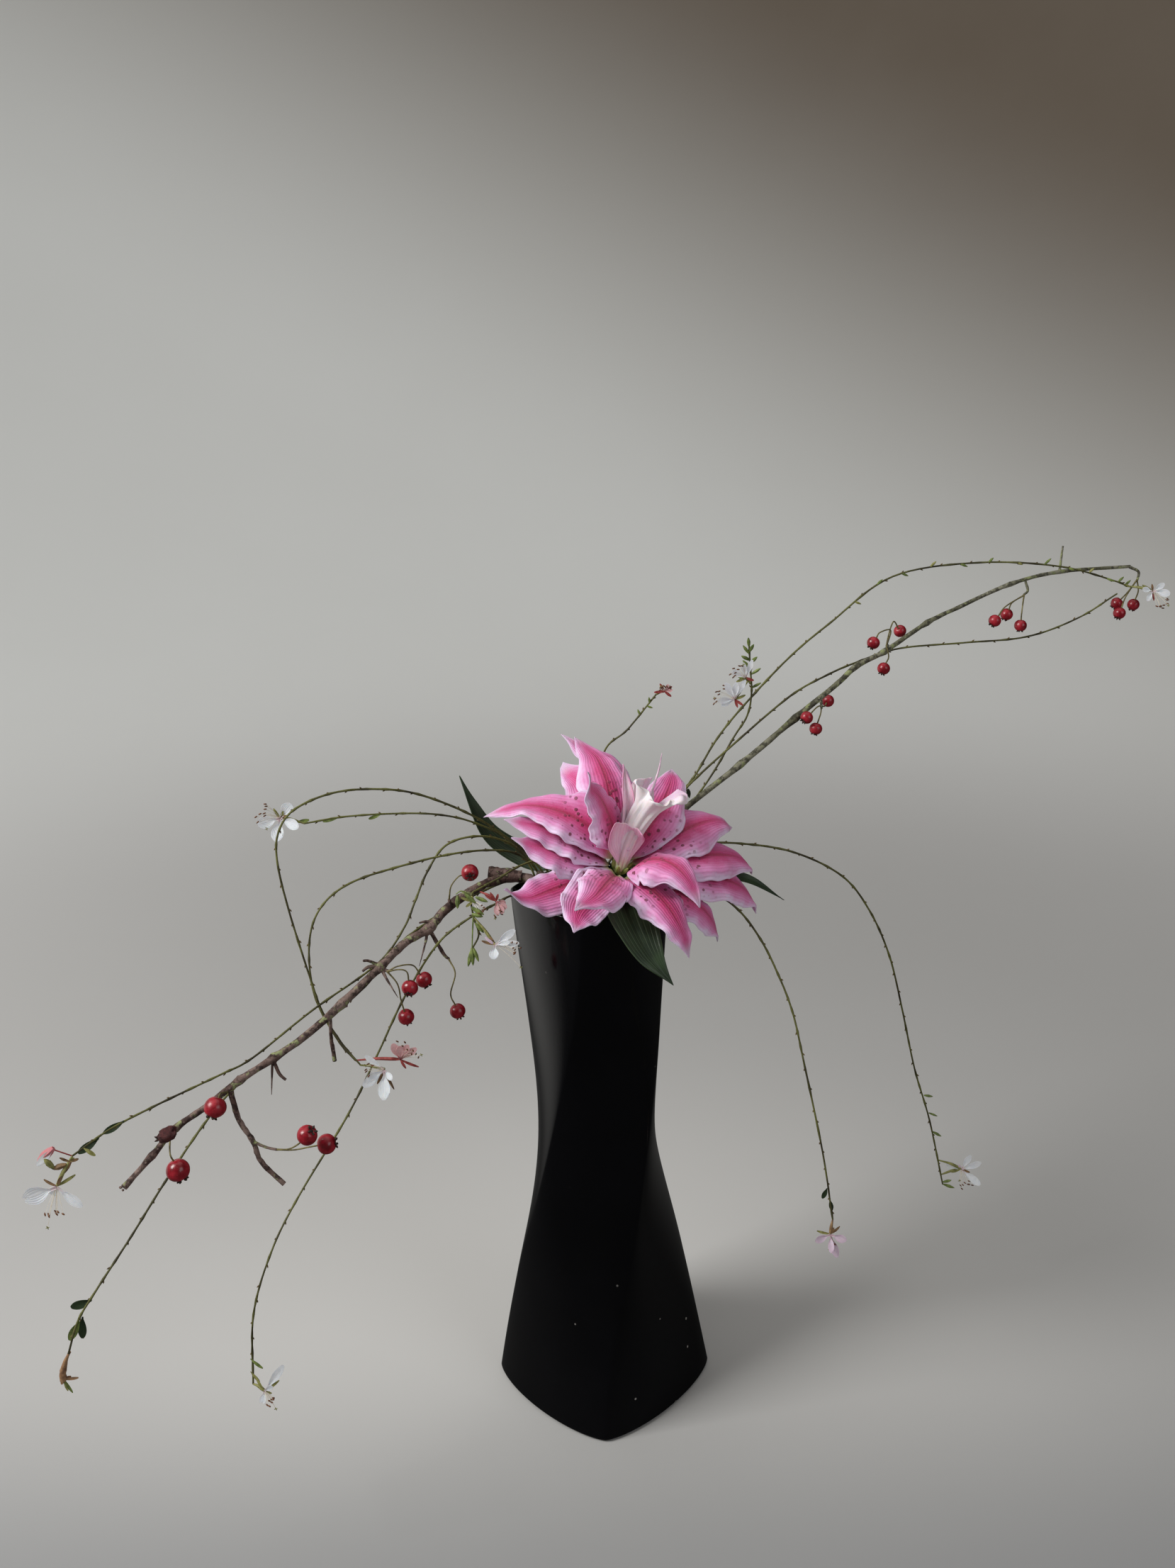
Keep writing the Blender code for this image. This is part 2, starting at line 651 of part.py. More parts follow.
def make_berries():
    red = plain_material("berry_skin", (0.30, 0.008, 0.014), 0.35)
    for name, (branch, radius, routes) in BERRIES.items():
        surface = surface_of(bpy.data.objects[branch])
        spur = seat_on(surface, Vector(routes[0][0]), PEDICEL_RADIUS)
        bodies = []
        for i, route in enumerate(routes):
            label = f"{name}_part_{i}" if i else name
            bodies.append(berry_body(label, [spur] + route[1:], radius, red))
        join_to(bodies[0], bodies[1:])


# The lily: its stem, leaves and tepals. Directions are kept in the flower's own frame

FLOWER_RIGHT = (Vector((1, 0, 0)) - LILY_AXIS * LILY_AXIS.x).normalized()
FLOWER_BACK = LILY_AXIS.cross(FLOWER_RIGHT)

# Outermost first. name: (azimuth, drift, rise at the base, rise at the tip, length, width)
# Angles are in degrees and sizes in millimetres. Azimuth 0 is to the right and 90 is to the back.
TEPALS = {
    "tepal_front_left": (200, 24, -16, 7, 75, 34),
    "tepal_right_front_outer": (329, 37, 25, -95, 94, 36),
    "tepal_right_lower": (354, 30, 24, -69, 116, 40),
    "tepal_left_lower": (187, -8, 21, -3, 74, 36),
    "tepal_back_outer": (103, 9, 55, -52, 108, 40),
    "tepal_front_outer": (234, 18, 12, -2, 74, 36),
    "tepal_right_front_mid": (300, 11, 40, -68, 84, 36),
    "tepal_right_mid": (6, 24, 32, -53, 108, 42),
    "tepal_left_mid": (170, 10, 32, -20, 82, 36),
    "tepal_left_back": (131, -23, 41, -32, 80, 34),
    "tepal_back_left": (118, -21, 51, -58, 100, 38),
    "tepal_left_upper": (158, 5, 38, -74, 102, 40),
    "tepal_right_upper": (30, 4, 45, -43, 98, 44),
    "tepal_front_inner": (246, -8, 42, -20, 73, 36),
    "tepal_right_front_inner": (322, -22, 74, -58, 77, 38),
    "tepal_back_right": (52, 34, 54, -18, 88, 40),
    "tepal_centre_left": (146, 24, 76, 20, 72, 30),
    "petaloid_cup": (268, 10, 84, 70, 34, 24),
    "petaloid_curl": (40, 0, 84, 74, 64, 22),
}
INNER_RINGS = {"petaloid_cup": 0.004, "petaloid_curl": 0.004}
BASE_WIDTH = 0.12  # a blade's width at its base, against its full width
TIP_WIDTH = 0.06
WIDEST = 0.95
WIDEST_PLACE = 0.85  # this power moves the widest place towards the tip as it falls
BLADE_FULLNESS = 0.9  # this power makes the outline fuller as it falls
LIFT_STEP = 0.0003


def radial(azimuth):
    return FLOWER_RIGHT * math.cos(azimuth) + FLOWER_BACK * math.sin(azimuth)


def blade_width(s):
    """The share of the full width at this share of the length."""
    swell = math.sin(math.pi * s**WIDEST_PLACE) ** BLADE_FULLNESS
    return max(BASE_WIDTH * (1 - s) + WIDEST * swell, TIP_WIDTH)


def tepal_middle(azimuth, drift, rise, tip_rise, length, width, start):
    """The middle surface as rows of points, and the direction that each row faces."""
    steps = TEPAL_LENGTH_STEPS
    point = LILY_CENTRE + radial(math.radians(azimuth)) * start
    rows = []
    for i in range(steps + 1):
        s = i / steps
        turn = math.radians(azimuth + drift * s)
        slope = math.radians(rise + (tip_rise - rise) * s**TEPAL_BEND_POWER)
        out = radial(turn)
        along = out * math.cos(slope) + LILY_AXIS * math.sin(slope)
        across = LILY_AXIS.cross(out)
        facing = along.cross(across)
        half = width / 2 * blade_width(s)
        row = []
        for j in range(TEPAL_WIDTH_STEPS + 1):
            side = 2 * j / TEPAL_WIDTH_STEPS - 1
            row.append(point + across * side * half - facing * side**2 * half * TEPAL_CURVATURE)
        rows.append((row, facing))
        point = point + along * length / steps
    return rows


def highest_below(trees, point):
    """The highest point of the tepals already made, along the flower's axis at this point."""
    best = None
    for tree in trees:
        hit = tree.ray_cast(point + LILY_AXIS * AXIS_REACH, -LILY_AXIS, AXIS_REACH * 2)[0]
        if hit is not None and (best is None or (hit - best).dot(LILY_AXIS) > 0):
            best = hit
    return best


def lay_on(trees, rows):
    """Lifts the rows so that the tepal lies over those already made, with no sharp steps."""
    lifts = np.zeros((len(rows), TEPAL_WIDTH_STEPS + 1))
    for i, (row, _) in enumerate(rows):
        for j, point in enumerate(row):
            below = highest_below(trees, point)
            if below is not None:
                needed = (below - point).dot(LILY_AXIS) + TEPAL_THICKNESS + TEPAL_CLEARANCE
                lifts[i, j] = max(needed, 0)
    spread = lifts.copy()
    for _ in range(3):
        padded = np.pad(spread, 1, mode="edge")
        around = (padded[:-2, 1:-1] + padded[2:, 1:-1] + padded[1:-1, :-2] + padded[1:-1, 2:]) / 4
        spread = np.maximum(lifts, around)
    for i, (row, _) in enumerate(rows):
        for j in range(len(row)):
            row[j] = row[j] + LILY_AXIS * spread[i, j]


def blade_rings(rows, thickness):
    rings = []
    for row, facing in rows:
        top = [point + facing * thickness / 2 for point in row]
        under = [point - facing * thickness / 2 for point in reversed(row)]
        rings.append(top + under)
    return rings


def blade_solid(name, rows, thickness, material):
    """A closed blade: each row becomes a flat ring, and the rings are lofted."""
    bm = bmesh.new()
    closed_loft(bm, blade_rings(rows, thickness))
    return new_object(name, bm, material)


def raised(rows, lift):
    return [([point + LILY_AXIS * lift for point in row], facing) for row, facing in rows]


def surface_of_rings(rings):
    bm = bmesh.new()
    closed_loft(bm, rings)
    surface = BVHTree.FromBMesh(bm)
    bm.free()
    return surface


def make_tepals():
    pink = plain_material("lily_tepal", (0.70, 0.18, 0.36), 0.5)
    below = [surface_of(bpy.data.objects["lily_stem"])]
    for name, (azimuth, drift, rise, tip_rise, length, width) in TEPALS.items():
        start = INNER_RINGS.get(name, TEPAL_START)
        rows = tepal_middle(azimuth, drift, rise, tip_rise, length / 1000, width / 1000, start)
        lay_on(below, rows)
        guard = surface_of_rings(blade_rings(rows, TEPAL_THICKNESS + REST_GAP * 2))
        while any(guard.overlap(surface) for surface in below):
            rows = raised(rows, LIFT_STEP)
            guard = surface_of_rings(blade_rings(rows, TEPAL_THICKNESS + REST_GAP * 2))
        below.append(surface_of(blade_solid(name, rows, TEPAL_THICKNESS, pink)))


def make_lily_stem():
    """The stem, which widens at its top into the receptacle that carries the tepals."""
    green = plain_material("lily_stem", (0.06, 0.11, 0.03), 0.5)
    top = LILY_CENTRE - LILY_AXIS * RECEPTACLE_DEPTH
    path = smooth_route(LILY_STEM_ROUTE, 3) + [top - LILY_AXIS * LILY_NECK_DEPTH, top]
    radii = [LILY_STEM_RADIUS] * (len(path) - 2) + [LILY_NECK_RADIUS, RECEPTACLE_RADIUS]
    tube("lily_stem", path, radii, LILY_STEM_SIDES, green)


# name: (middle line from base to tip, direction that the upper side faces, width)
LILY_LEAVES = {
    "lily_leaf_front": (
        [
            (0.0175, -0.0185, 0.376), (0.0205, -0.030, 0.4033), (0.024, -0.043, 0.4058),
            (0.029, -0.059, 0.396),
            (0.038, -0.073, 0.381), (0.053, -0.081, 0.3625),
        ],
        (0.35, -0.80, 0.50),
        0.036,
    ),
    "lily_leaf_left": (
        [
            (0.004, -0.002, 0.374), (-0.010, 0.018, 0.394), (-0.0235, 0.0385, 0.4045),
            (-0.045, 0.045, 0.408),
            (-0.069, 0.048, 0.424), (-0.081, 0.050, 0.446), (-0.090, 0.052, 0.469),
        ],
        (0.45, -0.80, 0.40),
        0.018,
    ),
    "lily_leaf_back": (
        [
            (0.008, -0.004, 0.386), (-0.003, 0.010, 0.400), (-0.012, 0.017, 0.406), (-0.021, 0.020, 0.411),
            (-0.029, 0.021, 0.419), (-0.034, 0.021, 0.425),
        ],
        (0.40, -0.70, 0.60),
        0.016,
    ),
    "lily_leaf_right": (
        [
            (0.0205, -0.0105, 0.388), (0.036, -0.004, 0.401), (0.058, 0.003, 0.407), (0.090, 0.012, 0.402),
            (0.115, 0.019, 0.394), (0.140, 0.024, 0.376),
        ],
        (0.20, -0.50, 0.85),
        0.013,
    ),
}
LEAF_THICKNESS = 0.0008
LEAF_WIDTH_STEPS = 4
LEAF_FOLD = 0.25  # how far the edges rise over the midrib, against half the width


def leaf_rows(route, facing, width):
    path = smooth_route(route, 2)
    facing = Vector(facing).normalized()
    rows = []
    for i, point in enumerate(path):
        s = i / (len(path) - 1)
        along = (path[min(i + 1, len(path) - 1)] - path[max(i - 1, 0)]).normalized()
        across = facing.cross(along).normalized()
        up = along.cross(across)
        half = width / 2 * blade_width(s)
        row = []
        for j in range(LEAF_WIDTH_STEPS + 1):
            side = 2 * j / LEAF_WIDTH_STEPS - 1
            row.append(point + across * side * half + up * abs(side) * half * LEAF_FOLD)
        rows.append((row, up))
    return rows


def make_lily_leaves():
    green = plain_material("lily_leaf", (0.03, 0.055, 0.02), 0.4)
    stem = surface_of(bpy.data.objects["lily_stem"])
    for name, (route, facing, width) in LILY_LEAVES.items():
        base = seat_on(stem, Vector(route[0]), LEAF_THICKNESS)
        blade_solid(name, leaf_rows([base] + route[1:], facing, width), LEAF_THICKNESS, green)


clear_scene()
make_vase()
make_gaura_stems()
make_gaura_flowers()
make_branches()
make_berries()
make_lily_stem()
make_tepals()
make_lily_leaves()
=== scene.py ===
# An ikebana arrangement in a black twisted vase: a double pink lily, two hawthorn
# branches with berries, and trailing gaura stems. Everything stands round the CAD frame.

import json
import math
import random

import bmesh
import bpy
import numpy as np
from mathutils import Matrix, Vector, noise
from mathutils.bvhtree import BVHTree

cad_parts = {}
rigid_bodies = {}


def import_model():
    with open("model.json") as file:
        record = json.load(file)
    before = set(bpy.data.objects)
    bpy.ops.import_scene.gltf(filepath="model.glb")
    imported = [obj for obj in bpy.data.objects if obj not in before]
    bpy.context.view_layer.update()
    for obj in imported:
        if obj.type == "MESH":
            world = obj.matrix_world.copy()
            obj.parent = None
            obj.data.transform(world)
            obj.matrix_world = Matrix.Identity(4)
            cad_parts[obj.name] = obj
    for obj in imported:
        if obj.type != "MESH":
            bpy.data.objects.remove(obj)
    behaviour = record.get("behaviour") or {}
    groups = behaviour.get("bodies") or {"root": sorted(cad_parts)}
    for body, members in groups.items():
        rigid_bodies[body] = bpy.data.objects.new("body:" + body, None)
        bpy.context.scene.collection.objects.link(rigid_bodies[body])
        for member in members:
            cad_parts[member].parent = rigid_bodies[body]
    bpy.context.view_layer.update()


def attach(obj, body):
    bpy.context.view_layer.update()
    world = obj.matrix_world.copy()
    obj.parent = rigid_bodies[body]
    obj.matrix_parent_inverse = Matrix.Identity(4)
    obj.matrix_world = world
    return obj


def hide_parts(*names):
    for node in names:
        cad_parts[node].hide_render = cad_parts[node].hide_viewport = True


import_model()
print("frame loaded")


# Shared shapes

def newMesh():
    bm = bmesh.new()
    bm.verts.layers.int.new("corner")
    bm.loops.layers.uv.new("blade")
    return bm


def smoothRoute(points, steps):
    # a smooth curve through the given points
    route = [Vector(point) for point in points]
    ends = [route[0] * 2 - route[1]] + route + [route[-1] * 2 - route[-2]]
    curve = []
    for before, start, end, after in zip(ends, ends[1:], ends[2:], ends[3:]):
        for step in range(steps):
            t = step / steps
            first = (end - before) * t
            second = (before * 2 - start * 5 + end * 4 - after) * t**2
            third = (start * 3 - before - end * 3 + after) * t**3
            curve.append(start + (first + second + third) * 0.5)
    curve.append(route[-1])
    return curve


def metres(points):
    # every table of places is in millimetres
    return [Vector(point) / 1000 for point in points]


def blend(start, end, count):
    return [start + (end - start) * i / max(count - 1, 1) for i in range(count)]


def smoothStep(low, high, value):
    t = min(max((value - low) / (high - low), 0), 1)
    return t * t * (3 - 2 * t)


def ringsAlong(path, radii, sides, wobble=0, grain=90, seed=0):
    # rings square to the path; wobble makes them uneven, as on bark
    rings = []
    side = None
    for i, point in enumerate(path):
        along = (path[min(i + 1, len(path) - 1)] - path[max(i - 1, 0)]).normalized()
        if side is None:
            side = along.orthogonal().normalized()
        side = (side - along * side.dot(along)).normalized()
        up = along.cross(side)
        ring = []
        for k in range(sides):
            turn = math.tau * k / sides
            out = side * math.cos(turn) + up * math.sin(turn)
            reach = radii[i]
            if wobble:
                reach *= 1 + wobble * noise.noise((point + out * radii[i]) * grain + Vector((seed, 0, 0)))
            ring.append(point + out * reach)
        rings.append(ring)
    return rings


def paintFrom(bm, count, slot):
    bm.faces.ensure_lookup_table()
    for face in bm.faces[count:]:
        face.material_index = slot


def growTube(bm, rings, slot=0):
    # a circle, extruded ring by ring and capped at both ends
    count = len(bm.faces)
    corner = bm.verts.layers.int["corner"]
    start = bmesh.ops.create_circle(bm, segments=len(rings[0]), radius=1)["verts"]
    for k, vert in enumerate(start):
        vert[corner] = k
        vert.co = rings[0][k]
    edges = list({edge for vert in start for edge in vert.link_edges})
    bmesh.ops.edgeloop_fill(bm, edges=edges)
    for ring in rings[1:]:
        made = bmesh.ops.extrude_edge_only(bm, edges=edges)["geom"]
        verts = {part for part in made if isinstance(part, bmesh.types.BMVert)}
        edges = [part for part in made if isinstance(part, bmesh.types.BMEdge)]
        edges = [edge for edge in edges if verts.issuperset(edge.verts)]
        for vert in verts:
            vert.co = ring[vert[corner]]
    bmesh.ops.edgeloop_fill(bm, edges=edges)
    paintFrom(bm, count, slot)


def addBlade(bm, across, along, place, slot=0, thickness=0):
    # a grid from edge to edge and base to tip, moved to the blade's shape
    count = len(bm.faces)
    blade = bm.loops.layers.uv["blade"]
    made = bmesh.ops.create_grid(bm, x_segments=across, y_segments=along, size=1)["verts"]
    faces = list({face for vert in made for face in vert.link_faces})
    for face in faces:
        for loop in face.loops:
            loop[blade].uv = ((loop.vert.co.x + 1) / 2, (loop.vert.co.y + 1) / 2)
    for vert in made:
        vert.co = place(-vert.co.x, (vert.co.y + 1) / 2)
    if thickness:
        bmesh.ops.solidify(bm, geom=faces, thickness=thickness)
    paintFrom(bm, count, slot)


def addBall(bm, centre, radii, axis, slot=0, segments=8):
    # a ball stretched along an axis
    count = len(bm.faces)
    turn = Vector(axis).to_track_quat("Z", "Y").to_matrix().to_4x4()
    matrix = Matrix.Translation(centre) @ turn @ Matrix.Diagonal((radii[0], radii[0], radii[1], 1))
    rows = max(segments // 2, 4)
    bmesh.ops.create_uvsphere(bm, u_segments=segments, v_segments=rows, radius=1, matrix=matrix)
    paintFrom(bm, count, slot)


def finishPiece(name, bm, materials, nodes=(), closed=True, sharp=50):
    if closed:
        bmesh.ops.recalc_face_normals(bm, faces=bm.faces)
    mesh = bpy.data.meshes.new(name)
    bm.to_mesh(mesh)
    bm.free()
    mesh.shade_smooth()
    mesh.set_sharp_from_angle(angle=math.radians(sharp))
    for material in materials:
        mesh.materials.append(material)
    piece = bpy.data.objects.new(name, mesh)
    bpy.context.scene.collection.objects.link(piece)
    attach(piece, "root")
    if nodes:
        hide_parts(*nodes)
    return piece


# Shared shading

def colour(code):
    # a linear colour from six hexadecimal digits
    parts = [int(code[i:i + 2], 16) / 255 for i in (0, 2, 4)]
    return (*[c / 12.92 if c < 0.04045 else ((c + 0.055) / 1.055) ** 2.4 for c in parts], 1)


def addNode(tree, kind, **settings):
    node = tree.nodes.new("ShaderNode" + kind)
    for key, value in settings.items():
        setattr(node, key, value)
    return node


def feed(tree, socket, value):
    if isinstance(value, bpy.types.NodeSocket):
        tree.links.new(value, socket)
    elif value is not None:
        socket.default_value = value


def maths(tree, operation, first, second=None, third=None):
    node = addNode(tree, "Math", operation=operation)
    for socket, value in zip(node.inputs, (first, second, third)):
        feed(tree, socket, value)
    return node.outputs[0]


def times(tree, first, second):
    return maths(tree, "MULTIPLY", first, second)


def fade(tree, value, low, high, start=0.0, end=1.0):
    node = addNode(tree, "MapRange", interpolation_type="SMOOTHSTEP")
    for socket, number in zip(node.inputs, (value, low, high, start, end)):
        feed(tree, socket, number)
    return node.outputs[0]


def mix(tree, factor, first, second):
    node = addNode(tree, "Mix", data_type="RGBA")
    feed(tree, node.inputs[0], factor)
    feed(tree, node.inputs[6], first)
    feed(tree, node.inputs[7], second)
    return node.outputs[2]


def newGroup(name, inputs, outputs):
    group = bpy.data.node_groups.new(name, "ShaderNodeTree")
    for label, value in inputs.items():
        socket = group.interface.new_socket(name=label, in_out="INPUT", socket_type="NodeSocketFloat")
        socket.default_value = value
    for label in outputs:
        group.interface.new_socket(name=label, in_out="OUTPUT", socket_type="NodeSocketFloat")
    return group, group.nodes.new("NodeGroupInput"), group.nodes.new("NodeGroupOutput")


def useGroup(tree, group, **values):
    node = tree.nodes.new("ShaderNodeGroup")
    node.node_tree = group
    for label, value in values.items():
        feed(tree, node.inputs[label], value)
    return node.outputs


def objectNoise(tree, scale, detail=3, rough=0.55, stretch=None):
    place = addNode(tree, "TexCoord").outputs["Object"]
    if stretch:
        mapping = addNode(tree, "Mapping")
        mapping.inputs["Scale"].default_value = stretch
        tree.links.new(place, mapping.inputs["Vector"])
        place = mapping.outputs[0]
    texture = addNode(tree, "TexNoise")
    tree.links.new(place, texture.inputs["Vector"])
    feed(tree, texture.inputs["Scale"], scale)
    feed(tree, texture.inputs["Detail"], detail)
    feed(tree, texture.inputs["Roughness"], rough)
    return texture.outputs["Fac"]


def makeMottleGroup():
    # soft uneven patches, 0 to 1
    group, start, end = newGroup("mottle", {"Scale": 60, "Detail": 3, "Contrast": 0.25}, ["Patches"])
    patches = objectNoise(group, start.outputs["Scale"], start.outputs["Detail"])
    low = maths(group, "SUBTRACT", 0.5, start.outputs["Contrast"])
    high = maths(group, "ADD", 0.5, start.outputs["Contrast"])
    group.links.new(fade(group, patches, low, high), end.inputs["Patches"])
    return group


def makeVeinGroup():
    # veins that run from base to tip and meet at both, with the place on the blade
    labels = {"Count": 14, "Wander": 0.02, "Sharpness": 3}
    group, start, end = newGroup("bladeVeins", labels, ["Veins", "Side", "Along"])
    place = addNode(group, "UVMap", uv_map="blade").outputs[0]
    parts = addNode(group, "SeparateXYZ")
    group.links.new(place, parts.inputs[0])
    side = maths(group, "ABSOLUTE", maths(group, "MULTIPLY_ADD", parts.outputs[0], 2, -1))
    wander = times(group, objectNoise(group, 70, 2), start.outputs["Wander"])
    turn = times(group, maths(group, "ADD", side, wander), start.outputs["Count"])
    wave = maths(group, "COSINE", times(group, turn, math.tau))
    veins = maths(group, "POWER", maths(group, "MULTIPLY_ADD", wave, 0.5, 0.5), start.outputs["Sharpness"])
    group.links.new(veins, end.inputs["Veins"])
    group.links.new(side, end.inputs["Side"])
    group.links.new(parts.outputs[1], end.inputs["Along"])
    return group


def makeSpeckGroup():
    # round specks of uneven size
    group, start, end = newGroup("specks", {"Scale": 300, "Size": 0.3, "Share": 0.5}, ["Specks"])
    texture = addNode(group, "TexVoronoi", feature="F1")
    group.links.new(addNode(group, "TexCoord").outputs["Object"], texture.inputs["Vector"])
    group.links.new(start.outputs["Scale"], texture.inputs["Scale"])
    parts = addNode(group, "SeparateColor")
    group.links.new(texture.outputs["Color"], parts.inputs[0])
    chosen = maths(group, "LESS_THAN", parts.outputs[0], start.outputs["Share"])
    edge = times(group, start.outputs["Size"], 0.6)
    dots = fade(group, texture.outputs["Distance"], edge, start.outputs["Size"], 1.0, 0.0)
    group.links.new(times(group, dots, chosen), end.inputs["Specks"])
    return group


mottleGroup = makeMottleGroup()
veinGroup = makeVeinGroup()
speckGroup = makeSpeckGroup()


def newMaterial(name, **sockets):
    material = bpy.data.materials.new(name)
    material.use_nodes = True
    shader = material.node_tree.nodes["Principled BSDF"]
    for label, value in sockets.items():
        shader.inputs[label.replace("_", " ")].default_value = value
    return material, material.node_tree, shader


def patchesOf(tree, scale, detail, contrast):
    return useGroup(tree, mottleGroup, Scale=scale, Detail=detail, Contrast=contrast)["Patches"]


def tint(tree, amount, strength, tone, code):
    # part of the way from the tone to another colour
    return mix(tree, times(tree, amount, strength), tone, colour(code))


def addBump(tree, shader, height, strength, distance):
    bump = addNode(tree, "Bump")
    bump.inputs["Strength"].default_value = strength
    bump.inputs["Distance"].default_value = distance
    tree.links.new(height, bump.inputs["Height"])
    tree.links.new(bump.outputs[0], shader.inputs["Normal"])


def mottledMaterial(name, dark, light, scale=120, rough=(0.5, 0.7), bump=0.2, depth=0.0003, **sockets):
    # the plain recipe for small natural pieces: two tones, uneven gloss and a fine relief
    material, tree, shader = newMaterial(name, **sockets)
    patches = patchesOf(tree, scale, 4, 0.22)
    fine = patchesOf(tree, scale * 9, 2, 0.3)
    tone = mix(tree, patches, colour(dark), colour(light))
    feed(tree, shader.inputs["Base Color"], tint(tree, fine, 0.25, tone, dark))
    feed(tree, shader.inputs["Roughness"], fade(tree, fine, 0.0, 1.0, *rough))
    addBump(tree, shader, fine, bump, depth)
    return material


# The vase: a square section with soft corners that turns as it rises

vaseShape = {
    "height": 0.400,
    "halfDiagonals": (0.0811, 0.0640, 0.0508, 0.0498, 0.0552),
    "twist": 84.3,
    "firstCorner": -0.5,
    "sectionPower": 1.383,
    "wall": 0.0045,
    "floor": 0.010,
    "footRound": 0.0035,
    "innerRound": 0.006,
    "cornerCrowding": 0.17,
    "sides": 160,
    "levels": 110,
}


def vaseHalfDiagonal(height):
    knots = vaseShape["halfDiagonals"]
    place = min(max(height / vaseShape["height"], 0), 1) * (len(knots) - 1)
    i = min(int(place), len(knots) - 2)
    t = place - i
    before = knots[i - 1] if i else 2 * knots[0] - knots[1]
    after = knots[i + 2] if i + 2 < len(knots) else 2 * knots[-1] - knots[-2]
    start, end = knots[i], knots[i + 1]
    bend = (end - before) * t + (2 * before - 5 * start + 4 * end - after) * t**2
    return start + 0.5 * (bend + (3 * start - before - 3 * end + after) * t**3)


def vaseTurn(height):
    t = min(max(height / vaseShape["height"], 0), 1)
    return math.radians(vaseShape["firstCorner"]) + math.radians(vaseShape["twist"]) * t * t * (3 - 2 * t)


def vaseRadius(angle, height):
    turned = angle - vaseTurn(height)
    power = vaseShape["sectionPower"]
    spread = abs(math.cos(turned)) ** power + abs(math.sin(turned)) ** power
    return vaseHalfDiagonal(height) / spread ** (1 / power)


def vaseRing(height, inset):
    # the points crowd towards the four corners, where the section turns fastest
    ring = []
    for k in range(vaseShape["sides"]):
        turned = math.tau * k / vaseShape["sides"]
        turned -= vaseShape["cornerCrowding"] * math.sin(4 * turned)
        angle = vaseTurn(height) + turned
        reach = vaseRadius(angle, height) - inset
        ring.append(Vector((reach * math.cos(angle), reach * math.sin(angle), height)))
    return ring


def makeGlaze():
    material, tree, shader = newMaterial("blackGlaze", Specular_IOR_Level=0.5)
    patches = patchesOf(tree, 9, 3, 0.3)
    fine = patchesOf(tree, 420, 2, 0.35)
    dust = useGroup(tree, speckGroup, Scale=95, Size=0.11, Share=0.10)["Specks"]
    parts = addNode(tree, "SeparateXYZ")
    tree.links.new(addNode(tree, "TexCoord").outputs["Object"], parts.inputs[0])
    low = fade(tree, parts.outputs[2], 0.05, 0.16, 1.0, 0.12)
    dust = times(tree, dust, low)
    glaze = mix(tree, patches, colour("020203"), colour("07070a"))
    feed(tree, shader.inputs["Base Color"], mix(tree, dust, glaze, colour("8d8a86")))
    rough = fade(tree, patches, 0.0, 1.0, 0.07, 0.15)
    feed(tree, shader.inputs["Roughness"], maths(tree, "ADD", rough, times(tree, dust, 0.5)))
    waves = objectNoise(tree, 7, 2, 0.5, (1, 1, 0.35))
    ripple = maths(tree, "ADD", waves, times(tree, fine, 0.006))
    addBump(tree, shader, maths(tree, "ADD", ripple, times(tree, dust, 0.05)), 0.35, 0.006)
    return material


def makeVase():
    bm = newMesh()
    shape = vaseShape
    rings = []
    for i in range(9):
        turn = math.pi / 2 * i / 8
        height = shape["footRound"] * (1 - math.cos(turn))
        rings.append((height, shape["footRound"] * (1 - math.sin(turn))))
    top = shape["height"]
    lip = shape["wall"] / 2
    rings += [(height, 0) for height in blend(shape["footRound"], top - lip, shape["levels"])[1:]]
    for i in range(1, 9):
        turn = math.pi * i / 8
        rings.append((top - lip + lip * math.sin(turn), lip - lip * math.cos(turn)))
    inner = shape["innerRound"]
    rings += [(height, shape["wall"]) for height in blend(top - lip, shape["floor"] + inner, 70)[1:]]
    for i in range(1, 7):
        turn = math.pi / 2 * i / 6
        height = shape["floor"] + inner * (1 - math.sin(turn))
        rings.append((height, shape["wall"] + inner * (1 - math.cos(turn))))
    growTube(bm, [vaseRing(height, inset) for height, inset in rings])
    finishPiece("vaseBody", bm, [makeGlaze()], ["vase"], sharp=60)


makeVase()
print("vase made")


# Gaura stems: thin and arching, with a small bud scale at each node

stemShape = {
    "radius": 0.0009,
    "tipRadius": 0.0006,
    "footReach": 0.55,
    "sides": 9,
    "nodeSpacing": 0.013,
    "nodeSwell": 0.45,
    "nodeLength": 0.0016,
    "clearance": 0.0003,
    "wallGap": 0.0007,
    "footLift": 0.2,
    "wallSlant": 1.3,
    "shares": (0, 0.2, 0.4, 0.55, 0.7, 0.82, 0.92, 1),
}
